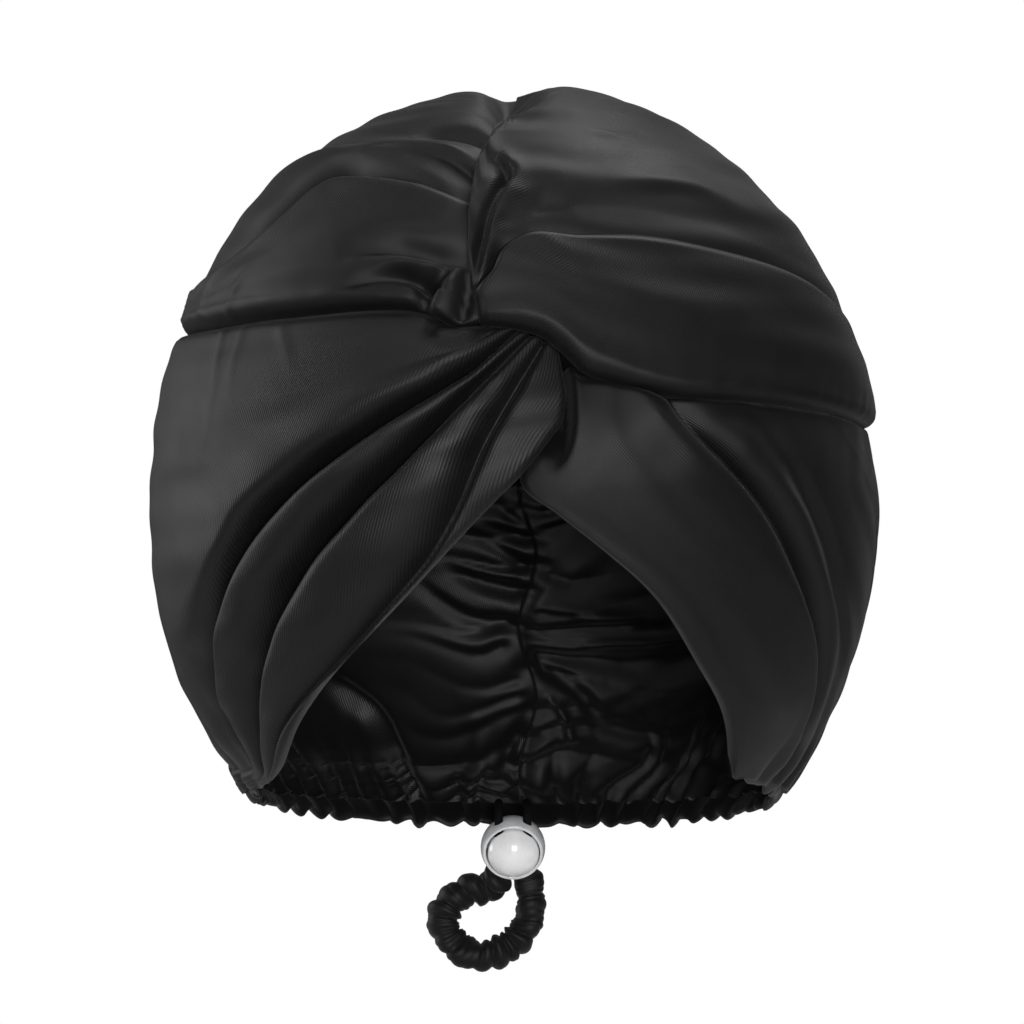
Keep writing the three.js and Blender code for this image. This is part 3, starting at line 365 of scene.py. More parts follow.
# Single creases and ridges that cross those folds: the points of each line, (x, z, lift) in the
# front view or on the back wall, and its width to the left and to the right of its own direction
# for somebody outside the bonnet who looks along it.
CREASES = {
    "crown_left": [
        dict(fold="hollow over the front pleat", width=(2.2, 6),
             line=[(-28.7, -30.4, -1), (-43, -28.8, -2.8), (-51.6, -29.2, -4.4), (-59.4, -34, -4.6),
                   (-69, -41.6, -3), (-79, -49.8, 0)]),
        dict(fold="front pleat edge", width=(4.5, 1.1),
             line=[(-13.5, -37.9, 0.4), (-28.7, -33.2, 1), (-43, -31.6, 1.4), (-51, -32.2, 1.5),
                   (-57, -36, 1.5), (-66.5, -44, 1.2), (-78, -52, 0.8), (-88, -61, 0)]),
        dict(fold="upper pleat edge", width=(3, 1.1),
             line=[(-48, -20.6, 0), (-33, -20, 0.9), (-17.6, -21.8, 1.3), (-9.5, -25, 1)]),
        dict(fold="under the upper pleat", width=(1.2, 4),
             line=[(-32, -22.4, 0), (-17, -24.4, -1.6), (-9, -28.2, -2.4)]),
        dict(fold="top tuck", width=(1.6, 4),
             line=[(-4.7, -17.7, -3), (-12.6, -15.8, -3.8), (-21.4, -15.8, -2.4), (-31, -17.4, 0)]),
        dict(fold="first tuck", width=(1.6, 5.5),
             line=[(-14, -53.6, -5.5), (-22.6, -52.4, -7.5), (-32.8, -51, -6), (-40.7, -51.8, -2.8),
                   (-49, -54.6, 0)]),
        dict(fold="between the tucks", width=(1.8, 1.2),
             line=[(-21.4, -55.4, 1.4), (-33, -54.4, 1.4), (-41.3, -56, 0)]),
        dict(fold="second tuck", width=(1.5, 3),
             line=[(-24, -61.4, -5.6), (-32.2, -58.8, -5.2), (-41.9, -60, -2.4), (-49, -62.4, 0)]),
        dict(fold="pocket left of the flap", width=(2.2, 2.2),
             line=[(-20.4, -56.6, -2.4), (-24.6, -61, -5), (-26, -66, -4)]),
        dict(fold="flap", width=(4, 1.1),
             line=[(-14.6, -53.2, 0.6), (-18.4, -59, 2.2), (-22.6, -66.6, 2.2)]),
        dict(fold="beside the flap", width=(1.4, 2),
             line=[(-13.2, -57, -1.6), (-13.6, -63, -4), (-15, -69, -4)]),
        dict(fold="first corner gather", width=(1.6, 1.6),
             line=[(-79, -52, 0), (-88, -62, 1), (-91, -68, 0.6)]),
        dict(fold="second corner gather", width=(1.6, 1.6),
             line=[(-88, -56, 0), (-95, -64, 1), (-97, -69, 0.6)]),
        dict(fold="third corner gather", width=(1.4, 1.4),
             line=[(-72, -55, 0), (-80, -63, 0.7), (-83, -69, 0.5)]),
    ],
    "crown_right": [
        dict(fold="valley beside the border", width=(1.1, 2.2),
             line=[(-4.4, -24.6, -1.6), (-1.5, -28.6, -3.6), (-3.4, -32.2, -3.6), (-6.7, -38.8, -3.2),
                   (-8.8, -46.7, -3), (-10.8, -57.3, -2.4), (-12, -64, -1)]),
        dict(fold="edge of the valley", width=(3, 0.9),
             line=[(-2.4, -23.4, 0.6), (0.6, -28.6, 1.4), (-1.4, -33, 1.2), (-4.9, -39.6, 1),
                   (-7, -47.2, 0.8), (-9, -57.4, 0)]),
        dict(fold="upper crest line", width=(3, 3),
             line=[(26, -31.6, 0), (40, -31.6, 1), (52, -33, 0.9), (64, -37.4, 0)]),
        dict(fold="short crest near the peak", width=(2.5, 2.5),
             line=[(20, -15, 0), (28, -16.8, 0.7), (38, -17.4, 0)]),
        dict(fold="hollow left of the middle", width=(7, 7),
             line=[(2, -34, 0), (8, -37, -1.4), (16, -36, 0)]),
    ],
    "band_left": [
        dict(fold="curl at the seam", width=(1.2, 1.6),
             line=[(-17.3, -72.6, -1.6), (-21, -71.8, -2.6), (-23.7, -73.4, -2), (-22.3, -76, 0)]),
        dict(fold="first wrinkle", width=(1.8, 1.8),
             line=[(-84.4, -74, 0.7), (-86.3, -88, 0.5), (-90, -112, 0)]),
        dict(fold="second wrinkle", width=(1.6, 1.6),
             line=[(-78.6, -74, 0.5), (-81.4, -86, 0.3), (-82, -96, 0)]),
        dict(fold="third wrinkle", width=(2, 2),
             line=[(-67, -74, 0.5), (-64.4, -84, 0.2), (-63, -90, 0)]),
        dict(fold="first fan ridge", view="back", width=(1.2, 1.8),
             line=[(4, -131, -3), (0, -128, -2.6), (-5, -124, 0)]),
        dict(fold="second fan ridge", view="back", width=(1.2, 1.8),
             line=[(5, -136, -3), (-2, -133.5, -2.6), (-12, -129.6, 0)]),
        dict(fold="third fan ridge", view="back", width=(1.4, 1.8),
             line=[(6, -148, -3), (-2, -141.6, -3), (-13, -134, 0)]),
        dict(fold="fourth fan ridge", view="back", width=(1.4, 2),
             line=[(5, -152.4, -3), (-8, -150, -3), (-16, -147, -1.8), (-24, -142, 0)]),
        dict(fold="fifth fan ridge", view="back", width=(1.6, 2.4),
             line=[(2, -161.8, -3.4), (-12, -160.5, -3), (-22.5, -155, -2), (-32, -147, 0)]),
        dict(fold="fold over the nape", view="back", width=(4, 3),
             line=[(-62, -176, 0), (-54, -182, -3), (-44, -190, -4), (-37, -202.4, -4), (-31, -214, -2)]),
        dict(fold="nape fold by the seam", view="back", width=(2.4, 3),
             line=[(5, -184.9, -2), (1.3, -198, -3.4), (-0.5, -210, -2)]),
    ],
    "band_right": [
        dict(fold="slot beside the flap", width=(1.0, 8),
             line=[(16.4, -80, -12), (16.8, -92, -13), (16.6, -102, -11), (15.4, -108, -6),
                   (13, -112.4, -2), (10, -115, 0)]),
        dict(fold="first crest line", width=(3, 3),
             line=[(36, -90, 0.6), (41.3, -98, 1.2), (49, -107.6, 0.6), (58, -118, 0)]),
        dict(fold="upper hollow", view="back", width=(3, 3),
             line=[(9, -157, 3), (27, -159, 4), (47, -160.5, 2)]),
        dict(fold="thin ridge", view="back", width=(1.3, 1.3),
             line=[(6, -165, -2), (22.5, -163.8, -2), (36, -162.4, -1.6), (44, -159, 0)]),
        dict(fold="lower hollow", view="back", width=(2, 2),
             line=[(24, -168, 1.5), (40, -167.6, 3.4), (54, -166, 2)]),
        dict(fold="broad fold", view="back", width=(6, 4),
             line=[(4.7, -171, -3), (17.2, -174.3, -4.4), (36, -175.5, -4.6), (56, -173, -3), (72, -168, 0)]),
        dict(fold="slanting ridge", view="back", width=(2, 3),
             line=[(9.4, -177, -2.4), (20, -185, -3), (28, -193, -3), (44, -197, -1.4), (56, -199, 0)]),
        dict(fold="crumple by the seam", view="back", width=(1.6, 1.6),
             line=[(9, -186, 2), (14, -190, 3), (19, -198, 2)]),
        dict(fold="nape hollow", view="back", width=(3, 3),
             line=[(60, -200, 0), (64, -205, 2.4), (68, -210, 2)]),
    ],
}

# ---------------------------------------------------------------- the form


def unit(vectors):
    return vectors / np.linalg.norm(vectors, axis=-1, keepdims=True)


def smoothstep(x, low, high):
    t = np.clip((x - low) / (high - low), 0, 1)
    return t * t * (3 - 2 * t)


def eased(least, share):
    """From least to 1 as share goes from 0 to 1."""
    return least + (1 - least) * share


def circle(count):
    return 2 * math.pi * np.arange(count) / count


def rise_of(z):
    return (z - MIDDLE_Z) / np.where(z > MIDDLE_Z, TOP_RISE, BOTTOM_DROP)


def depth_of(y):
    return y / np.where(y < 0, FRONT_DEPTH, BACK_DEPTH)


def direction(x, y, z, missing, sign):
    """A direction on the form from two of its three parts; sign is that of the third."""
    u = np.array([x, y, z], float)
    u[missing] = sign * math.sqrt(max(0.0, 1 - u @ u))
    return unit(u)


def from_front(x, z, sign=-1):
    return direction((x - MIDDLE_X) / HALF_WIDTH, 0, rise_of(z), 1, sign)


def from_side(y, z, hand):
    return direction(0, depth_of(y), rise_of(z), 0, hand)


def seam_x(y):
    """Where the centre-back seam lies."""
    return MIDDLE_X + (SEAM_X - MIDDLE_X) * smoothstep(y, *SEAM_STARTS)


def seam_push(points):
    """How far the gathers push the seam, and the cloth beside it, to one side."""
    x, y, z = np.moveaxis(points, -1, 0)
    wave = -np.cos(2 * math.pi * (z - SEAM_WANDER["from_z"]) / SEAM_WANDER["pitch"])
    near = np.exp(-((x - SEAM_X) / SEAM_WANDER["reach"]) ** 2)
    low = smoothstep(-z, *SEAM_WANDER["below"])
    return SEAM_WANDER["by"] * wave * near * low * smoothstep(y, *SEAM_STARTS)


def from_back(z):
    return direction((SEAM_X - MIDDLE_X) / HALF_WIDTH, 0, rise_of(z), 1, 1)


def form_at(u):
    """Where directions u meet the form, and its outward normals there."""
    size = np.stack([
        np.full(u.shape[:-1], HALF_WIDTH),
        np.where(u[..., 1] < 0, FRONT_DEPTH, BACK_DEPTH),
        np.where(u[..., 2] > 0, TOP_RISE, BOTTOM_DROP),
    ], axis=-1)
    return u * size + (MIDDLE_X, 0, MIDDLE_Z), unit(u / size)


def raised(u, lift):
    point, normal = form_at(u)
    return point + normal * np.asarray(lift)[..., None]


def settled(places):
    """Directions for places near the form: at their own height, but from the middle near the top."""
    x = (places[..., 0] - MIDDLE_X) / HALF_WIDTH
    y = depth_of(places[..., 1])
    through = unit(np.stack([x, y, rise_of(places[..., 2])], axis=-1))
    rise = np.minimum(rise_of(places[..., 2]), 1)
    reach = np.sqrt(1 - rise ** 2) / np.maximum(np.hypot(x, y), 1e-9)
    level = np.stack([x * reach, y * reach, rise], axis=-1)
    near_top = smoothstep(rise, *NEAR_TOP)[..., None]
    return unit(level * (1 - near_top) + through * near_top)


# ---------------------------------------------------------------- rows of cloth

SPAN = 24                      # samples of a curve between two of its points


def smooth_curve(points):
    """A centripetal Catmull-Rom curve through the points, SPAN samples to each stretch."""
    points = np.asarray(points, float)
    before = 2 * points[0] - points[1]
    after = 2 * points[-1] - points[-2]
    p = np.vstack([before, points, after])
    steps = np.sqrt(np.linalg.norm(np.diff(p, axis=0), axis=1))
    t = (np.arange(SPAN) / SPAN)[:, None]
    curve = []
    for k in range(len(points) - 1):
        d0, d1, d2 = np.maximum(steps[k:k + 3], 1e-4)
        p0, p1, p2, p3 = p[k:k + 4]
        out = ((p1 - p0) / d0 - (p2 - p0) / (d0 + d1) + (p2 - p1) / d1) * d1
        into = ((p2 - p1) / d1 - (p3 - p1) / (d1 + d2) + (p3 - p2) / d2) * d1
        curve.append(p1 + out * t + (3 * (p2 - p1) - 2 * out - into) * t ** 2
                     + (2 * (p1 - p2) + out + into) * t ** 3)
    return np.vstack(curve + [points[-1:]])


def run_along(curve):
    return np.concatenate([[0], np.cumsum(np.linalg.norm(np.diff(curve, axis=0), axis=1))])


def points_on(curve, run, where):
    """The points of a curve at distances along it."""
    return np.stack([np.interp(where, run, curve[:, axis]) for axis in range(3)], axis=-1)


def along_curve(route, spacing):
    """Distances along a smooth route, and the points there."""
    curve = smooth_curve(route)
    run = run_along(curve)
    where = np.arange(0, run[-1], spacing)
    return where, points_on(curve, run, where)


def spread(values, spacing, reach):
    """The values along a line, each change spread over reach, with the ends kept."""
    radius = max(1, round(reach / spacing))
    kernel = np.hanning(2 * radius + 3)[1:-1]
    padded = np.concatenate([
        2 * values[0] - values[radius:0:-1], values, 2 * values[-1] - values[-2:-radius - 2:-1]])
    return np.convolve(padded, kernel / kernel.sum(), mode="valid")


def waypoints(row, hand):
    """A row's points as directions with lifts, and how many of them are in front."""
    sink = VALLEY if row["form"] == SHARP else 0
    front = [(from_front(x, z), lift - sink) for x, z, lift in row.get("front", [])]
    side = [(from_side(y, z, hand), lift) for y, z, lift in row.get("side", [])]
    back = [(from_back(z), lift) for z, lift in row.get("back", [])]
    return front + side + back, len(front)


class Line:
    """A row of cloth as a fine curve on the form, with its lifts, in one leg or two."""

    def __init__(self, row, hand, legs):
        points, turn = waypoints(row, hand)
        self.curve = smooth_curve([form_at(u)[0] for u, _ in points])
        self.run = run_along(self.curve)
        at = self.run[::SPAN]
        self.lifts = np.interp(self.run, at, [lift for _, lift in points])
        self.stops = [0, at[turn], at[-1]] if legs == 2 else [0, at[-1]]

    def sampled(self, columns):
        """Directions and lifts, evenly spaced in each leg."""
        legs = [np.linspace(self.stops[k], self.stops[k + 1], n + 1) for k, n in enumerate(columns)]
        where = np.concatenate([legs[0]] + [leg[1:] for leg in legs[1:]])
        lifts = np.interp(where, self.run, self.lifts)
        spacing = self.run[-1] / len(where)
        return settled(points_on(self.curve, self.run, where)), spread(lifts, spacing, LIFT_SOFTNESS)


def across(t, form, next_form):
    """How far the lift has gone from one row to the next, t of the way across."""
    return ((t ** 3 - 2 * t ** 2 + t) * form + (3 * t ** 2 - 2 * t ** 3)
            + (t ** 3 - t ** 2) * next_form)


def strips_between(rails, forms, width):
    """Directions and lifts of a panel's strips of cells, laid from row to row."""
    u, lift = [], []
    for k in range(len(rails) - 1):
        (u0, lift0), (u1, lift1) = rails[k], rails[k + 1]
        p0, p1 = form_at(u0)[0], form_at(u1)[0]
        strips = max(LEAST_STRIPS, math.ceil(np.linalg.norm(p1 - p0, axis=1).max() / width))
        for step in range(strips):
            t = step / strips
            rise = across(t, forms[k], forms[k + 1])
            u.append(settled(p0 * (1 - t) + p1 * t))
            lift.append(lift0 * (1 - rise) + lift1 * rise)
    last_u, last_lift = rails[-1]
    return np.array(u + [last_u]), np.array(lift + [last_lift])


def distances(grid, axis):
    """How far each point of a grid is from the grid's first edge, along one axis of it."""
    steps = np.linalg.norm(np.diff(grid, axis=axis), axis=-1)
    first = [(0, 0), (0, 0)]
    first[axis] = (1, 0)
    return np.pad(np.cumsum(steps, axis=axis), first)


class Panel:
    """A panel of cloth: a grid of directions and lifts, with where each point is on the form."""

    def __init__(self, name, rows, hand, legs, cell):
        self.name = name
        self.hand = hand
        length, width = cell
        lines = [Line(row, hand, legs) for row in rows]
        columns = [math.ceil(max(line.stops[k + 1] - line.stops[k] for line in lines) / length)
                   for k in range(legs)]
        rails = [line.sampled(columns) for line in lines]
        self.u, self.lift = strips_between(rails, [row["form"] for row in rows], width)
        self.point, self.normal = form_at(self.u)
        self.along = distances(self.point, 1)
        self.over = distances(self.point, 0)


# ---------------------------------------------------------------- gathers and creases


def ripple(rng, coordinates, wavelength, terms=7):
    """A smooth irregular surface between about -1 and 1, as a sum of waves."""
    total = 0
    for _ in range(terms):
        heading = unit(rng.normal(size=coordinates.shape[-1]))
        length = wavelength * rng.uniform(*RIPPLE_LENGTHS)
        total = total + np.sin(2 * math.pi * (coordinates @ heading) / length
                               + rng.uniform(0, 2 * math.pi))
    return total / math.sqrt(terms)


def gathers(rng, along, away, pitch, reach, depth):
    """Rounded folds with sharp valleys, side by side along a seam, each fading as it leaves it."""
    enough = math.ceil(2.4 * GATHER_SPAN / pitch)
    widths = pitch * rng.uniform(*GATHER_WIDTHS, enough)
    stops = np.cumsum(widths) - GATHER_SPAN
    plane = np.stack([along, away], axis=-1)
    sway = GATHER_SWAY["by"] * pitch * ripple(rng, plane, GATHER_SWAY["pitch"] * pitch)
    bent = along + sway * np.minimum(1, away / (GATHER_SWAY["starts"] * pitch))
    index = np.clip(np.searchsorted(stops, bent), 1, len(stops) - 1)
    part = (bent - stops[index - 1]) / (stops[index] - stops[index - 1])
    heights = rng.uniform(*GATHER_DEPTHS, len(stops))[index]
    reaches = reach * rng.uniform(*GATHER_REACHES, len(stops))[index]
    crest = np.sin(math.pi * np.clip(part, 0, 1)) ** GATHER_ROUND
    return depth * heights * (crest - GATHER_MEAN) * np.exp(-(away / reaches) ** 2)


def crease(panel, line, width, view):
    """The lift that one crease or ridge adds to a panel."""
    sign = -1 if view == "front" else 1
    curve = smooth_curve([form_at(from_front(x, z, sign))[0] for x, z, _ in line])
    run = run_along(curve)
    lifts = np.interp(run, run[::SPAN], [lift for _, _, lift in line])
    fades = CREASE_FADES * max(width)
    low, high = curve.min(axis=0) - fades, curve.max(axis=0) + fades
    near = np.all((panel.point > low) & (panel.point < high), axis=-1)
    added = np.zeros(panel.lift.shape)
    points, normals = panel.point[near], panel.normal[near]
    if not len(points):
        return added
    nearest = np.argmin(np.linalg.norm(points[:, None] - curve[None], axis=-1), axis=1)
    offset = points - curve[nearest]
    tangent = unit(np.gradient(curve, axis=0))[nearest]
    side = np.einsum("ij,ij->i", np.cross(tangent, offset), normals)
    reach = np.where(side > 0, width[0], width[1])
    distance = np.linalg.norm(offset, axis=-1)
    added[near] = lifts[nearest] * np.exp(-(distance / reach) ** 2)
    return added


def hem_back_y():
    return from_back(HEM_BACK_Z)[1] * BACK_DEPTH


def hem_z(y, corner):
    """Height of the hem round the nape, from the front corner to the back."""
    return corner[1] + (y - corner[0]) * (HEM_BACK_Z - corner[1]) / (hem_back_y() - corner[0])


def hem_gathers(point, away):
    """The gathers that the nape elastic makes, the same in the panels as in the casing."""
    around = np.arctan2(point[..., 0], point[..., 1]) * NAPE_ROUND
    return gathers(np.random.default_rng(SEED["hem"]), around, away, **NAPE)


def add_shirring(panel, rng):
    """The elastic centre-back seam gathers both panels beside it, more freely away from it."""
    x, y, z = np.moveaxis(panel.point, -1, 0)
    away = np.abs(x - seam_x(y))
    shared = gathers(np.random.default_rng(SEED["back seam"]), -z, away, **SHIRR)
    own = gathers(rng, -z, away, **SHIRR)
    mixed = smoothstep(away, *SHIRR_SHARED)
    panel.lift += smoothstep(y, *SHIRR_STARTS) * (shared * (1 - mixed) + own * mixed)


def add_nape_gathers(panel, corner):
    """The nape elastic gathers the hem from one front corner to the other."""
    y, z = panel.point[..., 1], panel.point[..., 2]
    above = z - hem_z(y, corner)
    behind = smoothstep(y, corner[0], corner[0] + NAPE_STARTS)
    panel.lift += behind * hem_gathers(panel.point, np.abs(above))


def add_top_dip(panel):
    """The crowns dip on both sides of the line where they meet over the twist."""
    x, y, z = np.moveaxis(panel.point, -1, 0)
    x = x - TOP_DIP["x"]
    places, shares = zip(*TOP_DIP["along"])
    share = np.interp(y, places, shares) * smoothstep(z, *TOP_DIP["over_z"])
    width = np.where(x > 0, TOP_DIP["right"], TOP_DIP["left"])
    panel.lift -= TOP_DIP["depth"] * share * np.exp(-(x / width) ** 2)


def roll_edges(panel, radius, *borders):
    """Turns borders down in a quarter circle, as a folded edge lies: a distance to each border."""
    inside = sum(np.clip(1 - away / radius, 0, 1) ** 2 for away in borders)
    panel.lift -= radius * (1 - np.sqrt(1 - np.minimum(1, inside)))


def tuck_edge(panel, away, drop, reach):
    """Draws a border down to pass under the next panel."""
    panel.lift -= drop * (1 - smoothstep(away, 0, reach))


def add_puckers(panel, rng):
    """The stitches of a seam pucker the cloth beside it."""
    starts = smoothstep(panel.over, 0, PUCKER_STARTS)
    panel.lift += starts * gathers(rng, panel.along, panel.over, **PUCKER)


def add_drape(panel, rng):
    """Slight long waves that run with the folds, held flat at the panel's seams."""
    x, y = panel.point[..., 0], panel.point[..., 1]
    drawn = np.stack([panel.along / DRAPE["drawn_out"], panel.over], axis=-1)
    held = DRAPE["held"]
    behind = np.where(y > 0, smoothstep(np.abs(x - seam_x(y)), 0, held), 1)
    free = smoothstep(panel.over, 0, held) * behind
    panel.lift += DRAPE["lift"] * ripple(rng, drawn, DRAPE["pitch"]) * free


def add_creases(panel):
    away = np.abs(panel.point[..., 0] - SEAM_X)
    off_seam = np.where(panel.point[..., 1] > 0, smoothstep(away, 0, CREASE_ENDS), 1)
    for fold in CREASES[panel.name]:
        added = crease(panel, fold["line"], fold["width"], fold.get("view", "front"))
        panel.lift += off_seam * added


# ---------------------------------------------------------------- meshes


def new_mesh(name, points, quads, uv):
    """A smooth-shaded mesh object from points in millimetres, unrolled as uv in millimetres."""
    quads = np.asarray(quads, dtype=np.int32)
    mesh = bpy.data.meshes.new(name)
    mesh.vertices.add(len(points))
    mesh.vertices.foreach_set("co", (np.asarray(points) * MM).ravel())
    corners = quads.shape[1]
    mesh.loops.add(quads.size)
    mesh.loops.foreach_set("vertex_index", quads.ravel())
    mesh.polygons.add(len(quads))
    mesh.polygons.foreach_set("loop_start", np.arange(0, quads.size, corners, dtype=np.int32))
    mesh.update(calc_edges=True)
    mesh.shade_smooth()
    layer = mesh.uv_layers.new(name="cloth")
    layer.data.foreach_set("uv", (uv[quads.ravel()] * MM).ravel())
    mesh.validate()
    obj = bpy.data.objects.new(name, mesh)
    bpy.context.scene.collection.objects.link(obj)
    return obj


def slope_cosine(outer, normal):
    """Cosine of the cloth's slope against the form."""
    along = np.gradient(outer, axis=1)
    over = np.gradient(outer, axis=0)
    return np.maximum(STEEPEST, np.abs(np.sum(unit(np.cross(along, over)) * normal, axis=-1)))


def rim_of(rows, columns):
    """The grid's border as a closed loop of cells, each with the cell one in from it."""
    top = [(0, j, 1, j) for j in range(columns - 1)]
    right = [(i, columns - 1, i, columns - 2) for i in range(rows - 1)]
    bottom = [(rows - 1, j, rows - 2, j) for j in range(columns - 1, 0, -1)]
    left = [(i, 0, i, 1) for i in range(rows - 1, 0, -1)]
    return np.array(top + right + bottom + left)


def beside_seam(points, hand):
    """Keeps the back of a panel on its own side of the seam, and lets the seam wander."""
    seam = seam_x(points[:, 1])
    beside = seam + np.maximum((points[:, 0] - seam) * hand, 0) * hand
    points[:, 0] = np.where(points[:, 1] > SEAM_FROM_Y, beside, points[:, 0])
    points[:, 0] += seam_push(points)


def faces_inwards(outer, at):
    """Whether a grid's cells, taken in order, face the middle of the form."""
    i, j = at
    normal = np.cross(outer[i, j + 1] - outer[i, j], outer[i + 1, j] - outer[i, j])
    return normal @ (outer[i, j] - (MIDDLE_X, 0, MIDDLE_Z)) < 0


def wall_cells(rows, columns, rim, rings):
    """The cells of a wall: an outer face, an inner face, and rings of cells round its rim."""
    size = rows * columns
    index = np.arange(size).reshape(rows, columns)
    a, b, c, d = index[:-1, :-1], index[:-1, 1:], index[1:, 1:], index[1:, :-1]
    face = np.stack([a, b, c, d], axis=-1).reshape(-1, 4)
    back = face[:, ::-1] + size
    edge = index[rim[:, 0], rim[:, 1]]
    between = [2 * size + k * len(rim) + np.arange(len(rim)) for k in range(rings)]
    loops = [edge] + between + [edge + size]
    border = [np.stack([near, far, np.roll(far, -1), np.roll(near, -1)], axis=-1)
              for near, far in zip(loops, loops[1:])]
    return np.vstack([face, back] + border)


def cloth_wall(panel):
    """The panel as a closed wall of cloth, with a rounded rim."""
    rows, columns = panel.lift.shape
    outer = raised(panel.u, panel.lift)
    inner = raised(panel.u, panel.lift - CLOTH / slope_cosine(outer, panel.normal))
    rim = rim_of(rows, columns)
    edge = outer[rim[:, 0], rim[:, 1]]
    under = inner[rim[:, 0], rim[:, 1]]
    outward = unit(edge - outer[rim[:, 2], rim[:, 3]])
    rings = [edge * (1 - t) + under * t + outward * CLOTH * bulge for t, bulge in RIM_RINGS]
    points = np.vstack([outer.reshape(-1, 3), inner.reshape(-1, 3)] + rings)
    beside_seam(points, panel.hand)

    quads = wall_cells(rows, columns, rim, len(rings))
    if faces_inwards(outer, (rows // 2, columns // 2)):
        quads = quads[:, ::-1]
    flat = np.stack([panel.along, panel.over], axis=-1)
    rim_uv = flat[rim[:, 0], rim[:, 1]]
    uv = np.vstack([flat.reshape(-1, 2), flat.reshape(-1, 2)] + [rim_uv] * len(rings))
    return new_mesh(panel.name + "_cloth", points, quads, uv)


def add_faces(obj, faces):
    """Adds smooth faces to a mesh and turns all its faces outwards."""
    shape = bmesh.new()
    shape.from_mesh(obj.data)
    shape.verts.ensure_lookup_table()
    for face in faces:
        shape.faces.new([shape.verts[int(k)] for k in face]).smooth = True
    bmesh.ops.recalc_face_normals(shape, faces=shape.faces)
    shape.to_mesh(obj.data)
    shape.free()


def tube(name, centres, rings):
    """A closed tube through rings of points, capped with a fan at each end."""
    count, sides = rings.shape[:2]
    steps = np.linalg.norm(rings - np.roll(rings, 1, axis=1), axis=-1).mean(axis=1)
    part_round = np.minimum(np.arange(sides), sides - np.arange(sides))
    uv = np.zeros((count * sides + 2, 2))
    uv[:-2, 0] = np.repeat(run_along(rings[:, 0]), sides)
    uv[:-2, 1] = (steps[:, None] * part_round[None]).ravel()
    index = np.arange(count * sides).reshape(count, sides)
    near, far = index[:-1], index[1:]
    body = np.stack([near, np.roll(near, -1, 1), np.roll(far, -1, 1), far], axis=-1).reshape(-1, 4)
    points = np.vstack([rings.reshape(-1, 3), centres[:1], centres[-1:]])
    obj = new_mesh(name, points, body, uv)
    first, last = count * sides, count * sides + 1
    caps = [(first, index[0, (k + 1) % sides], index[0, k]) for k in range(sides)]
    caps += [(last, index[-1, k], index[-1, (k + 1) % sides]) for k in range(sides)]
    add_faces(obj, caps)
    return obj


def frames_along(curve, up):
    """Unit sideways and upward directions along a curve."""
    tangent = unit(np.gradient(curve, axis=0))
    sideways = unit(np.cross(tangent, up))
    return sideways, np.cross(sideways, tangent)


def rings_round(centres, sideways, width, upward, height):
    """Rings of points about the centres, from how far each stands out sideways and up."""
    return (centres[:, None] + sideways[:, None] * width[..., None]
            + upward[:, None] * height[..., None])


# ---------------------------------------------------------------- panels


def dress(obj, node, material, body="bonnet"):
    """Gives a piece its material and its body, and hides the solid that it stands for."""
    obj.data.materials.append(material)
    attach(obj, body)
    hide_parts(node)
    return obj


def panel_of(name):
    panel = Panel(name, **PANELS[name])
    return panel, np.random.default_rng(SEED[name])


def add_folds(panel, rng):
    add_creases(panel)
    add_drape(panel, rng)
    add_shirring(panel, rng)


def hang(panel, material):
    """The panel's cloth, dressed."""
    cloth = dress(cloth_wall(panel), panel.name, material)


def make_crown(name, material):
    """A crown: it dips over the twist, puckers at its seam, and its borders are rolled under."""
    panel, rng = panel_of(name)
    add_top_dip(panel)
    add_folds(panel, rng)
    add_puckers(panel, rng)
    borders = [panel.over] if panel.hand < 0 else [panel.over, panel.along]
    roll_edges(panel, EDGE_ROLL["crown"], *borders)
    hang(panel, material)


def make_band(name, material):
    """A band: gathered at the nape, with a rolled free edge, and tucked under its crown."""
    panel, rng = panel_of(name)
    add_folds(panel, rng)
    corner = HEM_CORNER["left" if panel.hand < 0 else "right"]
    add_nape_gathers(panel, corner)
    if panel.hand < 0:
        free, sewn = panel.over[-1] - panel.over, panel.over
    else:
        free, sewn = panel.over, panel.along
    starts, ends = (by - corner[0] for by in FREE_EDGE)
    front = smoothstep(-panel.point[..., 1], starts, ends)
    roll_edges(panel, EDGE_ROLL["band"], free + (1 - front) * EDGE_ROLL["band"])
    tuck_edge(panel, sewn, **TUCK)
    hang(panel, material)


def casing_route():
    """The hem's line, from the left front corner round the back to the right one."""
    left, right = HEM_CORNER["left"], HEM_CORNER["right"]
    places = [(y, left, -1) for y in (left[0] + CASING_SET_IN, *CASING_Y["left"])]
    places += [(hem_back_y(), left, 1)]
    places += [(y, right, 1) for y in (*CASING_Y["right"], right[0] + CASING_SET_IN)]
    return [form_at(from_side(y, hem_z(y, corner), hand))[0] for y, corner, hand in places]


def casing_size(point, end, low):
    """The casing's half thickness and half height: slimmer at its ends and in two stretches."""
    thick = CASING_THICK / 2 * eased(CASING_END["thick"], end)[:, None] * eased(CASING_TOP, low)
    slim_y, slim_reach = np.where(point[:, :1] < 0, CASING_SLIM["left"], CASING_SLIM["right"]).T
    slim = 1 - CASING_SLIM_BY * np.exp(-((point[:, 1] - slim_y) / slim_reach) ** 2)
    return thick, CASING_HEIGHT / 2 * (eased(CASING_END["tall"], end) * slim)[:, None]


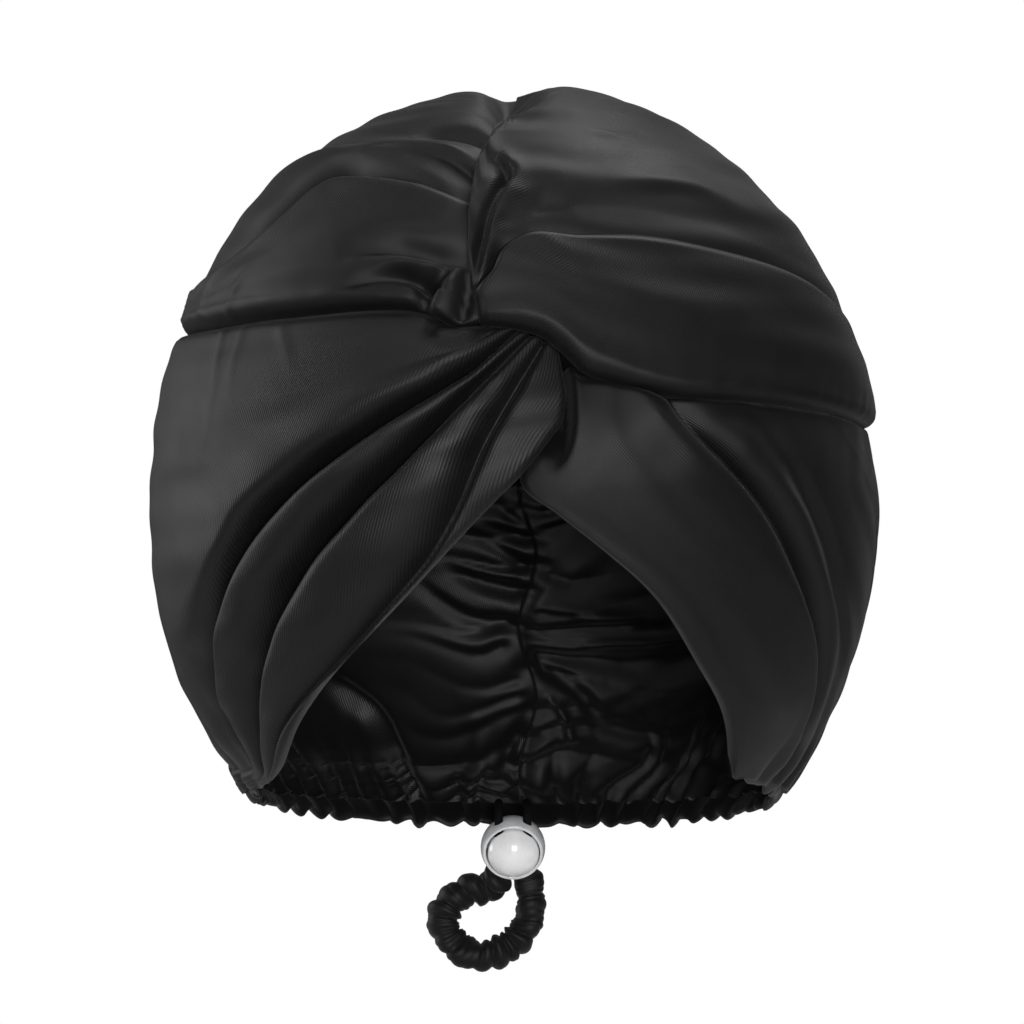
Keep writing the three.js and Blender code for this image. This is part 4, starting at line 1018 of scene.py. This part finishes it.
def make_casing(material):
    """The ruffled casing round the nape elastic."""
    where, places = along_curve(casing_route(), CASING_STEP)
    point, normal = form_at(settled(places))
    down = unit(np.cross(normal, unit(np.gradient(point, axis=0))))
    down *= np.where(down[:, 2:] > 0, -1, 1)
    ruffle = hem_gathers(point, np.zeros(len(point))) / NAPE["depth"]
    rng = np.random.default_rng(SEED["casing"])
    frill = ripple(rng, where[:, None], FRILL["pitch"])
    fullness = FULLNESS["mean"] + FULLNESS["by"] * ripple(rng, where[:, None], FULLNESS["pitch"])
    end = smoothstep(np.minimum(where, where[-1] - where), 0, CASING_TAPER)
    angle = circle(CASING_SIDES)
    low = (1 - np.cos(angle)) / 2
    thick, half_height = casing_size(point, end, low)
    waves = FRILL["own"] * frill + FRILL["ruffles"] * fullness * ruffle
    tall = half_height + CASING_SCALLOP * waves[:, None] * low
    middle = point + down * (CASING_DROP + half_height) - normal * CLOTH / 2
    middle += normal * (CASING_RUFFLE * fullness * ruffle * end)[:, None]
    rings = rings_round(middle, down, -np.cos(angle) * tall, normal, np.sin(angle) * thick)
    casing = dress(tube("nape_casing_cloth", middle, rings), "nape_casing", material)


# ---------------------------------------------------------------- lock and elastic


def lock_matrix():
    """The lock's place: its middle from the barrel's box, tilted so that the button faces front."""
    low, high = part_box("lock_barrel")
    middle = Vector(((low[0] + high[0]) / 2, high[1] - BALL_R * MM, high[2] - BALL_R * MM))
    return Matrix.Translation(middle) @ Matrix.Rotation(math.radians(90 + LOCK_TILT), 4, "X")


def turned(name, profile):
    """A smooth turned piece from (radius, height) steps, about local +Z."""
    inner = [(r, z) for r, z in profile if r > 0]
    rings = np.array([[(r * math.cos(a), r * math.sin(a), z) for a in circle(TURNED_SIDES)]
                      for r, z in inner])
    return tube(name, np.array([(0, 0, profile[0][1]), (0, 0, profile[-1][1])]), rings)


def ball_arc(radius, middle, from_z, to_z, steps):
    start = math.acos((from_z - middle) / radius)
    end = math.acos((to_z - middle) / radius)
    return [(radius * math.sin(a), middle + radius * math.cos(a))
            for a in np.linspace(start, end, steps + 1)]


def fillet(corner, before, after, radius, steps=5):
    """A rounded corner of a profile."""
    corner, before, after = (np.array(p, float) for p in (corner, before, after))
    a = corner + unit(before - corner) * radius
    b = corner + unit(after - corner) * radius
    return [tuple((1 - t) ** 2 * a + 2 * t * (1 - t) * corner + t ** 2 * b)
            for t in np.linspace(0, 1, steps + 1)]


def slot_outline(x, radius, low, high):
    """A strand hole's outline across its axis: two half circles, apart where it is a slot."""
    upper, lower = (np.linspace(start, start + math.pi, ARC_POINTS) for start in (0, math.pi))
    outline = [(x + radius * math.cos(a), high + radius * math.sin(a)) for a in upper]
    return outline + [(x + radius * math.cos(a), low + radius * math.sin(a)) for a in lower]


def bored(obj, low, high):
    """Cuts the two strand holes through the piece along its local Y."""
    beyond = 3 * BALL_R
    for x in (-STRAND_X, STRAND_X):
        around = slot_outline(x, HOLE_R, low, high)
        rings = np.array([[(px, y, pz) for px, pz in around] for y in (-beyond, beyond)])
        rod = tube("rod", rings.mean(axis=1), rings)
        cut = obj.modifiers.new("hole", "BOOLEAN")
        cut.object = rod
        cut.operation = "DIFFERENCE"
        evaluated = obj.evaluated_get(bpy.context.evaluated_depsgraph_get())
        mesh = bpy.data.meshes.new_from_object(evaluated)
        obj.modifiers.clear()
        obj.data = mesh
        bpy.data.objects.remove(rod)
    obj.data.shade_smooth()
    obj.data.set_sharp_from_angle(angle=SHARP_ANGLE)
    return obj


def make_cup(material):
    """The lock's ball, with the bore that the button runs in."""
    rim = (math.sqrt(BALL_R ** 2 - RIM_Z ** 2), RIM_Z)
    lip = (BORE_R, RIM_Z)
    floor = (BORE_R, BORE_FLOOR_Z)
    profile = [(0, -BALL_R)] + ball_arc(BALL_R, 0, -BALL_R * POLE, RIM_Z - RIM_STARTS, BALL_STEPS)
    profile += fillet(rim, profile[-1], lip, RIM_ROUND)
    profile += fillet(lip, rim, floor, BORE_ROUND)
    profile += [floor, (BORE_R / 2, BORE_FLOOR_Z), (0, BORE_FLOOR_Z)]
    cup = bored(turned("lock_cup", profile), 0, 0)
    cup.data.transform(lock_matrix())
    dress(cup, "lock_barrel", material)


def make_button(material):
    """The lock's domed button, a little aside in its bore."""
    dome_r = (BUTTON_R ** 2 + DOME_RISE ** 2) / (2 * DOME_RISE)
    top = RIM_Z + DOME_RISE
    shoulder_z, pole_z = RIM_Z + BUTTON_ROUND, RIM_Z + DOME_RISE * DOME_POLE
    dome = ball_arc(dome_r, top - dome_r, shoulder_z, pole_z, DOME_STEPS)
    back = (BUTTON_R, BUTTON_BACK_Z)
    profile = [(0, BUTTON_BACK_Z), back]
    profile += fillet((BUTTON_R, RIM_Z), back, dome[0], BUTTON_ROUND)
    profile += dome + [(0, top)]
    button = bored(turned("lock_dome", profile), 0, SLOT_TOP)
    button.data.transform(Matrix.Translation((BUTTON_PLAY[0] * MM, BUTTON_PLAY[1] * MM, 0)))
    button.data.transform(lock_matrix())
    dress(button, "lock_button", material, "button")


# A strand runs out of the casing, over the lock and straight down through it.
STRAND_ROUTE = [
    (0, 76.4, -221.3),
    (0, 73.6, -218.6),
    (0, 69.6, -217),
    (0, 65, -217.2),
    (0, 62, -219),
    (0, 60.7, -222.3),
    (0, 64.5, -230.5),
    (0, 68.5, -239.1),
]

# The ruched loop, from the left strand round to the right one.
LOOP_ROUTE = [
    (-4.7, 69.1, -240.3),
    (-6.9, 70.5, -242.2),
    (-13, 70.7, -243.7),
    (-18.6, 70.7, -247.3),
    (-21.6, 70.8, -252.3),
    (-20.9, 71, -257.8),
    (-16.8, 71.2, -262),
    (-10.8, 71.2, -263.9),
    (-4.3, 71, -262.7),
    (1.3, 70.8, -259.4),
    (4.5, 70.4, -254.6),
    (5.3, 70, -249.4),
    (5.2, 70.2, -244.2),
    (4.6, 68.8, -239.6),
]


def make_strand(name, x, material):
    """An elastic strand: a braided round cord."""
    where, centres = along_curve([(px + x, y, z) for px, y, z in STRAND_ROUTE], STRAND_STEP)
    sideways, upward = frames_along(centres, np.array((1.0, 0, 0)))
    angle = circle(STRAND_SIDES)
    around = PLAITS["count"] * angle[None]
    turn = PLAITS["turn"] * where[:, None]
    radius = STRAND_D / 2 + PLAITS["depth"] * np.cos(around + turn) * np.cos(around - turn)
    rings = rings_round(centres, sideways, np.cos(angle) * radius, upward, np.sin(angle) * radius)
    dress(tube(name + "_braid", centres, rings), name, material)


def clear_of_lock(points):
    """Presses points of the loop's cover out of the lock's ball."""
    middle = np.array(lock_matrix().translation) / MM
    away = points - middle
    distance = np.linalg.norm(away, axis=-1, keepdims=True)
    return middle + away * np.maximum(1, (BALL_R + LOOP_GAP) / distance)


def carried_on(centres, by, spacing):
    """A line with both its ends carried straight on."""
    steps = np.arange(round(by / spacing), 0, -1)[:, None] * spacing
    before = centres[0] + steps * unit(centres[0] - centres[2])
    after = centres[-1] + steps[::-1] * unit(centres[-1] - centres[-3])
    return np.vstack([before, centres, after])


def loop_radius(where, angle):
    """How far the loop's cover stands out: soft frills with finer ones and broad lobes on them."""
    rng = np.random.default_rng(SEED["loop"])
    lean_by, lean_turn = LOOP_LEAN
    lean = where[:, None] + lean_by * np.sin(angle[None] + lean_turn * where[:, None])
    flat = np.zeros(lean.shape)
    frills = gathers(rng, lean, flat, LOOP_FRILLS["pitch"], AS_FAR, 1.0)
    finer = lean + LOOP_FINE["lean"] * np.cos(2 * angle)
    fine = gathers(rng, finer, flat, LOOP_FINE["pitch"], AS_FAR, 1.0)
    reach = LOOP_LOBES["radius"]
    around = np.stack([np.broadcast_to(reach * np.cos(angle), lean.shape),
                       np.broadcast_to(reach * np.sin(angle), lean.shape), lean], axis=-1)
    lobes = ripple(rng, around, LOOP_LOBES["pitch"])
    end = np.minimum(where, where[-1] - where)[:, None]
    full = 1 - LOOP_NECK_BY + LOOP_NECK_BY * np.sqrt(np.minimum(1, end / LOOP_NECK))
    return full * (LOOP_D / 2 + LOOP_FULLNESS + LOOP_FRILLS["height"] * frills
                   + LOOP_FINE["height"] * fine + LOOP_LOBES["height"] * lobes)


def make_loop(material):
    """The loop: a satin tube ruched on elastic, its cover standing in soft frills."""
    elastic = along_curve(LOOP_ROUTE, LOOP_STEP)[1]
    centres = carried_on(elastic, LOOP_HUG, LOOP_STEP)
    sideways, upward = frames_along(centres, np.array((0, 1.0, 0)))
    angle = circle(LOOP_SIDES)
    radius = loop_radius(LOOP_STEP * np.arange(len(centres)), angle)
    rings = rings_round(centres, sideways, np.cos(angle) * radius, upward, np.sin(angle) * radius)
    cover = tube("elastic_loop_ruched", clear_of_lock(centres), clear_of_lock(rings))
    dress(cover, "elastic_loop", material)


# ---------------------------------------------------------------- materials

# Each material's darkest and lightest colours.
BLACK = dict(deep=(0.0022, 0.0022, 0.0026), raised=(0.0088, 0.0088, 0.01))
RUCHED_BLACK = dict(deep=(0.0014, 0.0014, 0.0017), raised=(0.0064, 0.0064, 0.0072))
BRAID_BLACK = dict(deep=(0.001, 0.001, 0.0012), raised=(0.004, 0.004, 0.0044))
PEARL_GREY = dict(deep=(0.6, 0.61, 0.62), raised=(0.72, 0.73, 0.74))
PEARL_WHITE = dict(deep=(0.86, 0.86, 0.87), raised=(0.95, 0.95, 0.95))
FLOOR_WHITE = dict(deep=(0.86, 0.86, 0.86), raised=(0.9, 0.9, 0.9))
THREADS = dict(scale=2600.0, detail=2.0, roughness=0.6)     # the cloth's single threads
RIBS = {"Scale": 550.0, "Distortion": 0.6, "Detail": 1.0, "Detail Scale": 2.0}
TWILL = math.radians(38)       # the slant of the ribs


class Nodes:
    """A material's node tree, with short calls to add to it; the settings are its shader's."""

    def __init__(self, name, **settings):
        self.material = bpy.data.materials.new(name)
        self.material.use_nodes = True
        self.tree = self.material.node_tree
        self.shader = self.tree.nodes["Principled BSDF"]
        for key, value in settings.items():
            self.shader.inputs[key.replace("_", " ")].default_value = value

    def add(self, kind, output, inputs, **settings):
        """A new node's output; each input is a value or another node's output."""
        node = self.tree.nodes.new("ShaderNode" + kind)
        for key, value in settings.items():
            setattr(node, key, value)
        for key, value in inputs.items():
            if isinstance(value, bpy.types.NodeSocket):
                self.tree.links.new(value, node.inputs[key])
            else:
                node.inputs[key].default_value = value
        return node.outputs[output]

    def link(self, output, key):
        self.tree.links.new(output, self.shader.inputs[key])

    def place(self):
        """Where a point is on its piece."""
        return self.add("TexCoord", "Object", {})

    def noise(self, place, scale, detail, roughness=0.5):
        return self.add("TexNoise", "Fac", {"Vector": place, "Scale": scale, "Detail": detail,
                                            "Roughness": roughness})

    def colour(self, factor, deep, raised, span=(0, 1)):
        """Colours the material from deep to raised over a span of the factor."""
        ramp = self.tree.nodes.new("ShaderNodeValToRGB")
        self.tree.links.new(factor, ramp.inputs["Fac"])
        for element, position, shade in zip(ramp.color_ramp.elements, span, (deep, raised)):
            element.position = position
            element.color = (*shade, 1)
        self.link(ramp.outputs["Color"], "Base Color")

    def roughness(self, factor, smoothest, roughest, span=(0, 1)):
        self.link(self.add("MapRange", "Result", {
            "Value": factor, "From Min": span[0], "From Max": span[1],
            "To Min": smoothest, "To Max": roughest}), "Roughness")

    def bump(self, height, strength, distance):
        self.link(self.add("Bump", "Normal", {
            "Height": height, "Strength": strength, "Distance": distance}), "Normal")


def satin_material():
    """Black silk satin: a fine twill, a soft sheen and a slight unevenness of the dye."""
    m = Nodes("black_satin", Specular_IOR_Level=0.3, Sheen_Weight=0.045, Sheen_Roughness=0.35,
              Anisotropic=0.3)
    place = m.add("UVMap", "UV", {}, uv_map="cloth")
    slanted = m.add("Mapping", "Vector", {"Vector": place, "Rotation": (0, 0, TWILL)})
    ribs = m.add("TexWave", "Fac", {"Vector": slanted, **RIBS}, wave_type="BANDS", bands_direction="X")
    threads = m.noise(place, **THREADS)
    weave = m.add("Mix", "Result", {"Factor": 0.5, "A": ribs, "B": threads}, data_type="FLOAT")
    m.bump(weave, strength=0.42, distance=0.00025)
    m.colour(threads, **BLACK, span=(0.3, 0.75))
    unevenness = m.noise(place, scale=60.0, detail=3.0)
    m.roughness(unevenness, smoothest=0.46, roughest=0.55, span=(0.3, 0.7))
    return m.material


def ruched_material():
    """The loop's cover: the same satin, crushed."""
    m = Nodes("ruched_satin", Specular_IOR_Level=0.22, Sheen_Weight=0.07, Sheen_Roughness=0.5)
    threads = m.noise(m.place(), **THREADS)
    m.colour(threads, **RUCHED_BLACK)
    m.roughness(threads, smoothest=0.5, roughest=0.62)
    m.bump(threads, strength=0.25, distance=0.0002)
    return m.material


def braid_material():
    """The bare elastic: a dull black braid."""
    m = Nodes("black_braid", Specular_IOR_Level=0.12, Roughness=0.8)
    m.colour(m.noise(m.place(), scale=3200.0, detail=2.0), **BRAID_BLACK)
    return m.material


def pearl_material(name, colours):
    """Moulded pearl plastic with a fine metallic cloud in it."""
    m = Nodes(name, Specular_IOR_Level=0.5, Coat_Weight=0.6, Coat_Roughness=0.08)
    cloud = m.noise(m.place(), scale=220.0, detail=4.0, roughness=0.6)
    m.colour(cloud, **colours, span=(0.35, 0.65))
    m.roughness(cloud, smoothest=0.2, roughest=0.3)
    return m.material


def floor_material():
    m = Nodes("pale_floor", Roughness=0.8)
    m.colour(m.noise(m.place(), scale=3.0, detail=4.0), **FLOOR_WHITE)
    return m.material


# ---------------------------------------------------------------- studio

CAMERA_DISTANCE = 3.0          # metres
FRAME_WIDTH = 0.3103           # metres across the picture at the bonnet
PICTURE_MIDDLE = (-0.0003, -0.1267)
WORLD_LIGHT = 0.07
FLOOR_RADIUS = 0.30
FLOOR_SIDES = 96
FLOOR_DROP = 0.03
LIGHTS_AIM = (0, 0, -0.12)
WHITE = (1, 1, 1, 1)

# Each softbox: its place in metres, its width and height, and its power in watts.
SOFTBOXES = [
    ("left_box", (-1.6, 0.5, 0.25), 0.6, 1.4, 14),
    ("top_box", (0.45, 0.5, 1.4), 1.0, 1.0, 14),
    ("front_box", (-0.3, -1.7, 1.5), 1.0, 1.0, 15),
    ("opening_box", (0.2, -2.5, -0.1), 0.7, 0.7, 42),
]


def make_camera():
    """A long lens from straight in front, as the photo's."""
    data = bpy.data.cameras.new("camera")
    data.sensor_width = 36
    data.lens = data.sensor_width * CAMERA_DISTANCE / FRAME_WIDTH
    camera = bpy.data.objects.new("camera", data)
    camera.location = (PICTURE_MIDDLE[0], -CAMERA_DISTANCE, PICTURE_MIDDLE[1])
    camera.rotation_euler = (math.radians(90), 0, 0)
    bpy.context.scene.collection.objects.link(camera)
    bpy.context.scene.camera = camera


def softbox(name, place, width, height, power):
    data = bpy.data.lights.new(name, "AREA")
    data.shape = "RECTANGLE"
    data.size, data.size_y, data.energy = width, height, power
    light = bpy.data.objects.new(name, data)
    light.location = place
    aim = Vector(LIGHTS_AIM) - Vector(place)
    light.rotation_euler = aim.to_track_quat("-Z", "Y").to_euler()
    bpy.context.scene.collection.objects.link(light)


def make_world():
    """White to the camera, and a dimmer even light for the cloth."""
    world = bpy.data.worlds.new("studio")
    world.use_nodes = True
    nodes, links = world.node_tree.nodes, world.node_tree.links
    seen, lit = nodes["Background"], nodes.new("ShaderNodeBackground")
    for background, strength in ((seen, 1.0), (lit, WORLD_LIGHT)):
        background.inputs["Color"].default_value = WHITE
        background.inputs["Strength"].default_value = strength
    path = nodes.new("ShaderNodeLightPath")
    mix = nodes.new("ShaderNodeMixShader")
    links.new(path.outputs["Is Camera Ray"], mix.inputs["Fac"])
    links.new(lit.outputs["Background"], mix.inputs[1])
    links.new(seen.outputs["Background"], mix.inputs[2])
    links.new(mix.outputs["Shader"], nodes["World Output"].inputs["Surface"])
    bpy.context.scene.world = world


def make_floor():
    """A pale disc below the loop."""
    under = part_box("elastic_loop")[0][2] - FLOOR_DROP
    bpy.ops.mesh.primitive_circle_add(vertices=FLOOR_SIDES, radius=FLOOR_RADIUS,
                                      fill_type="NGON", location=(0, 0, under))
    floor = bpy.context.object
    floor.name = "floor"
    floor.data.materials.append(floor_material())


# ---------------------------------------------------------------- the whole

make_camera()
make_loop(ruched_material())
BRAID = braid_material()
make_strand("strand_left", -STRAND_X, BRAID)
make_strand("strand_right", STRAND_X, BRAID)

SATIN = satin_material()
make_crown("crown_left", SATIN)
make_crown("crown_right", SATIN)
make_band("band_left", SATIN)
make_band("band_right", SATIN)
make_casing(SATIN)
make_cup(pearl_material("pearl_grey", PEARL_GREY))
make_button(pearl_material("pearl_white", PEARL_WHITE))

make_world()
for box in SOFTBOXES:
    softbox(*box)
make_floor()
bpy.context.scene.view_settings.view_transform = "Standard"
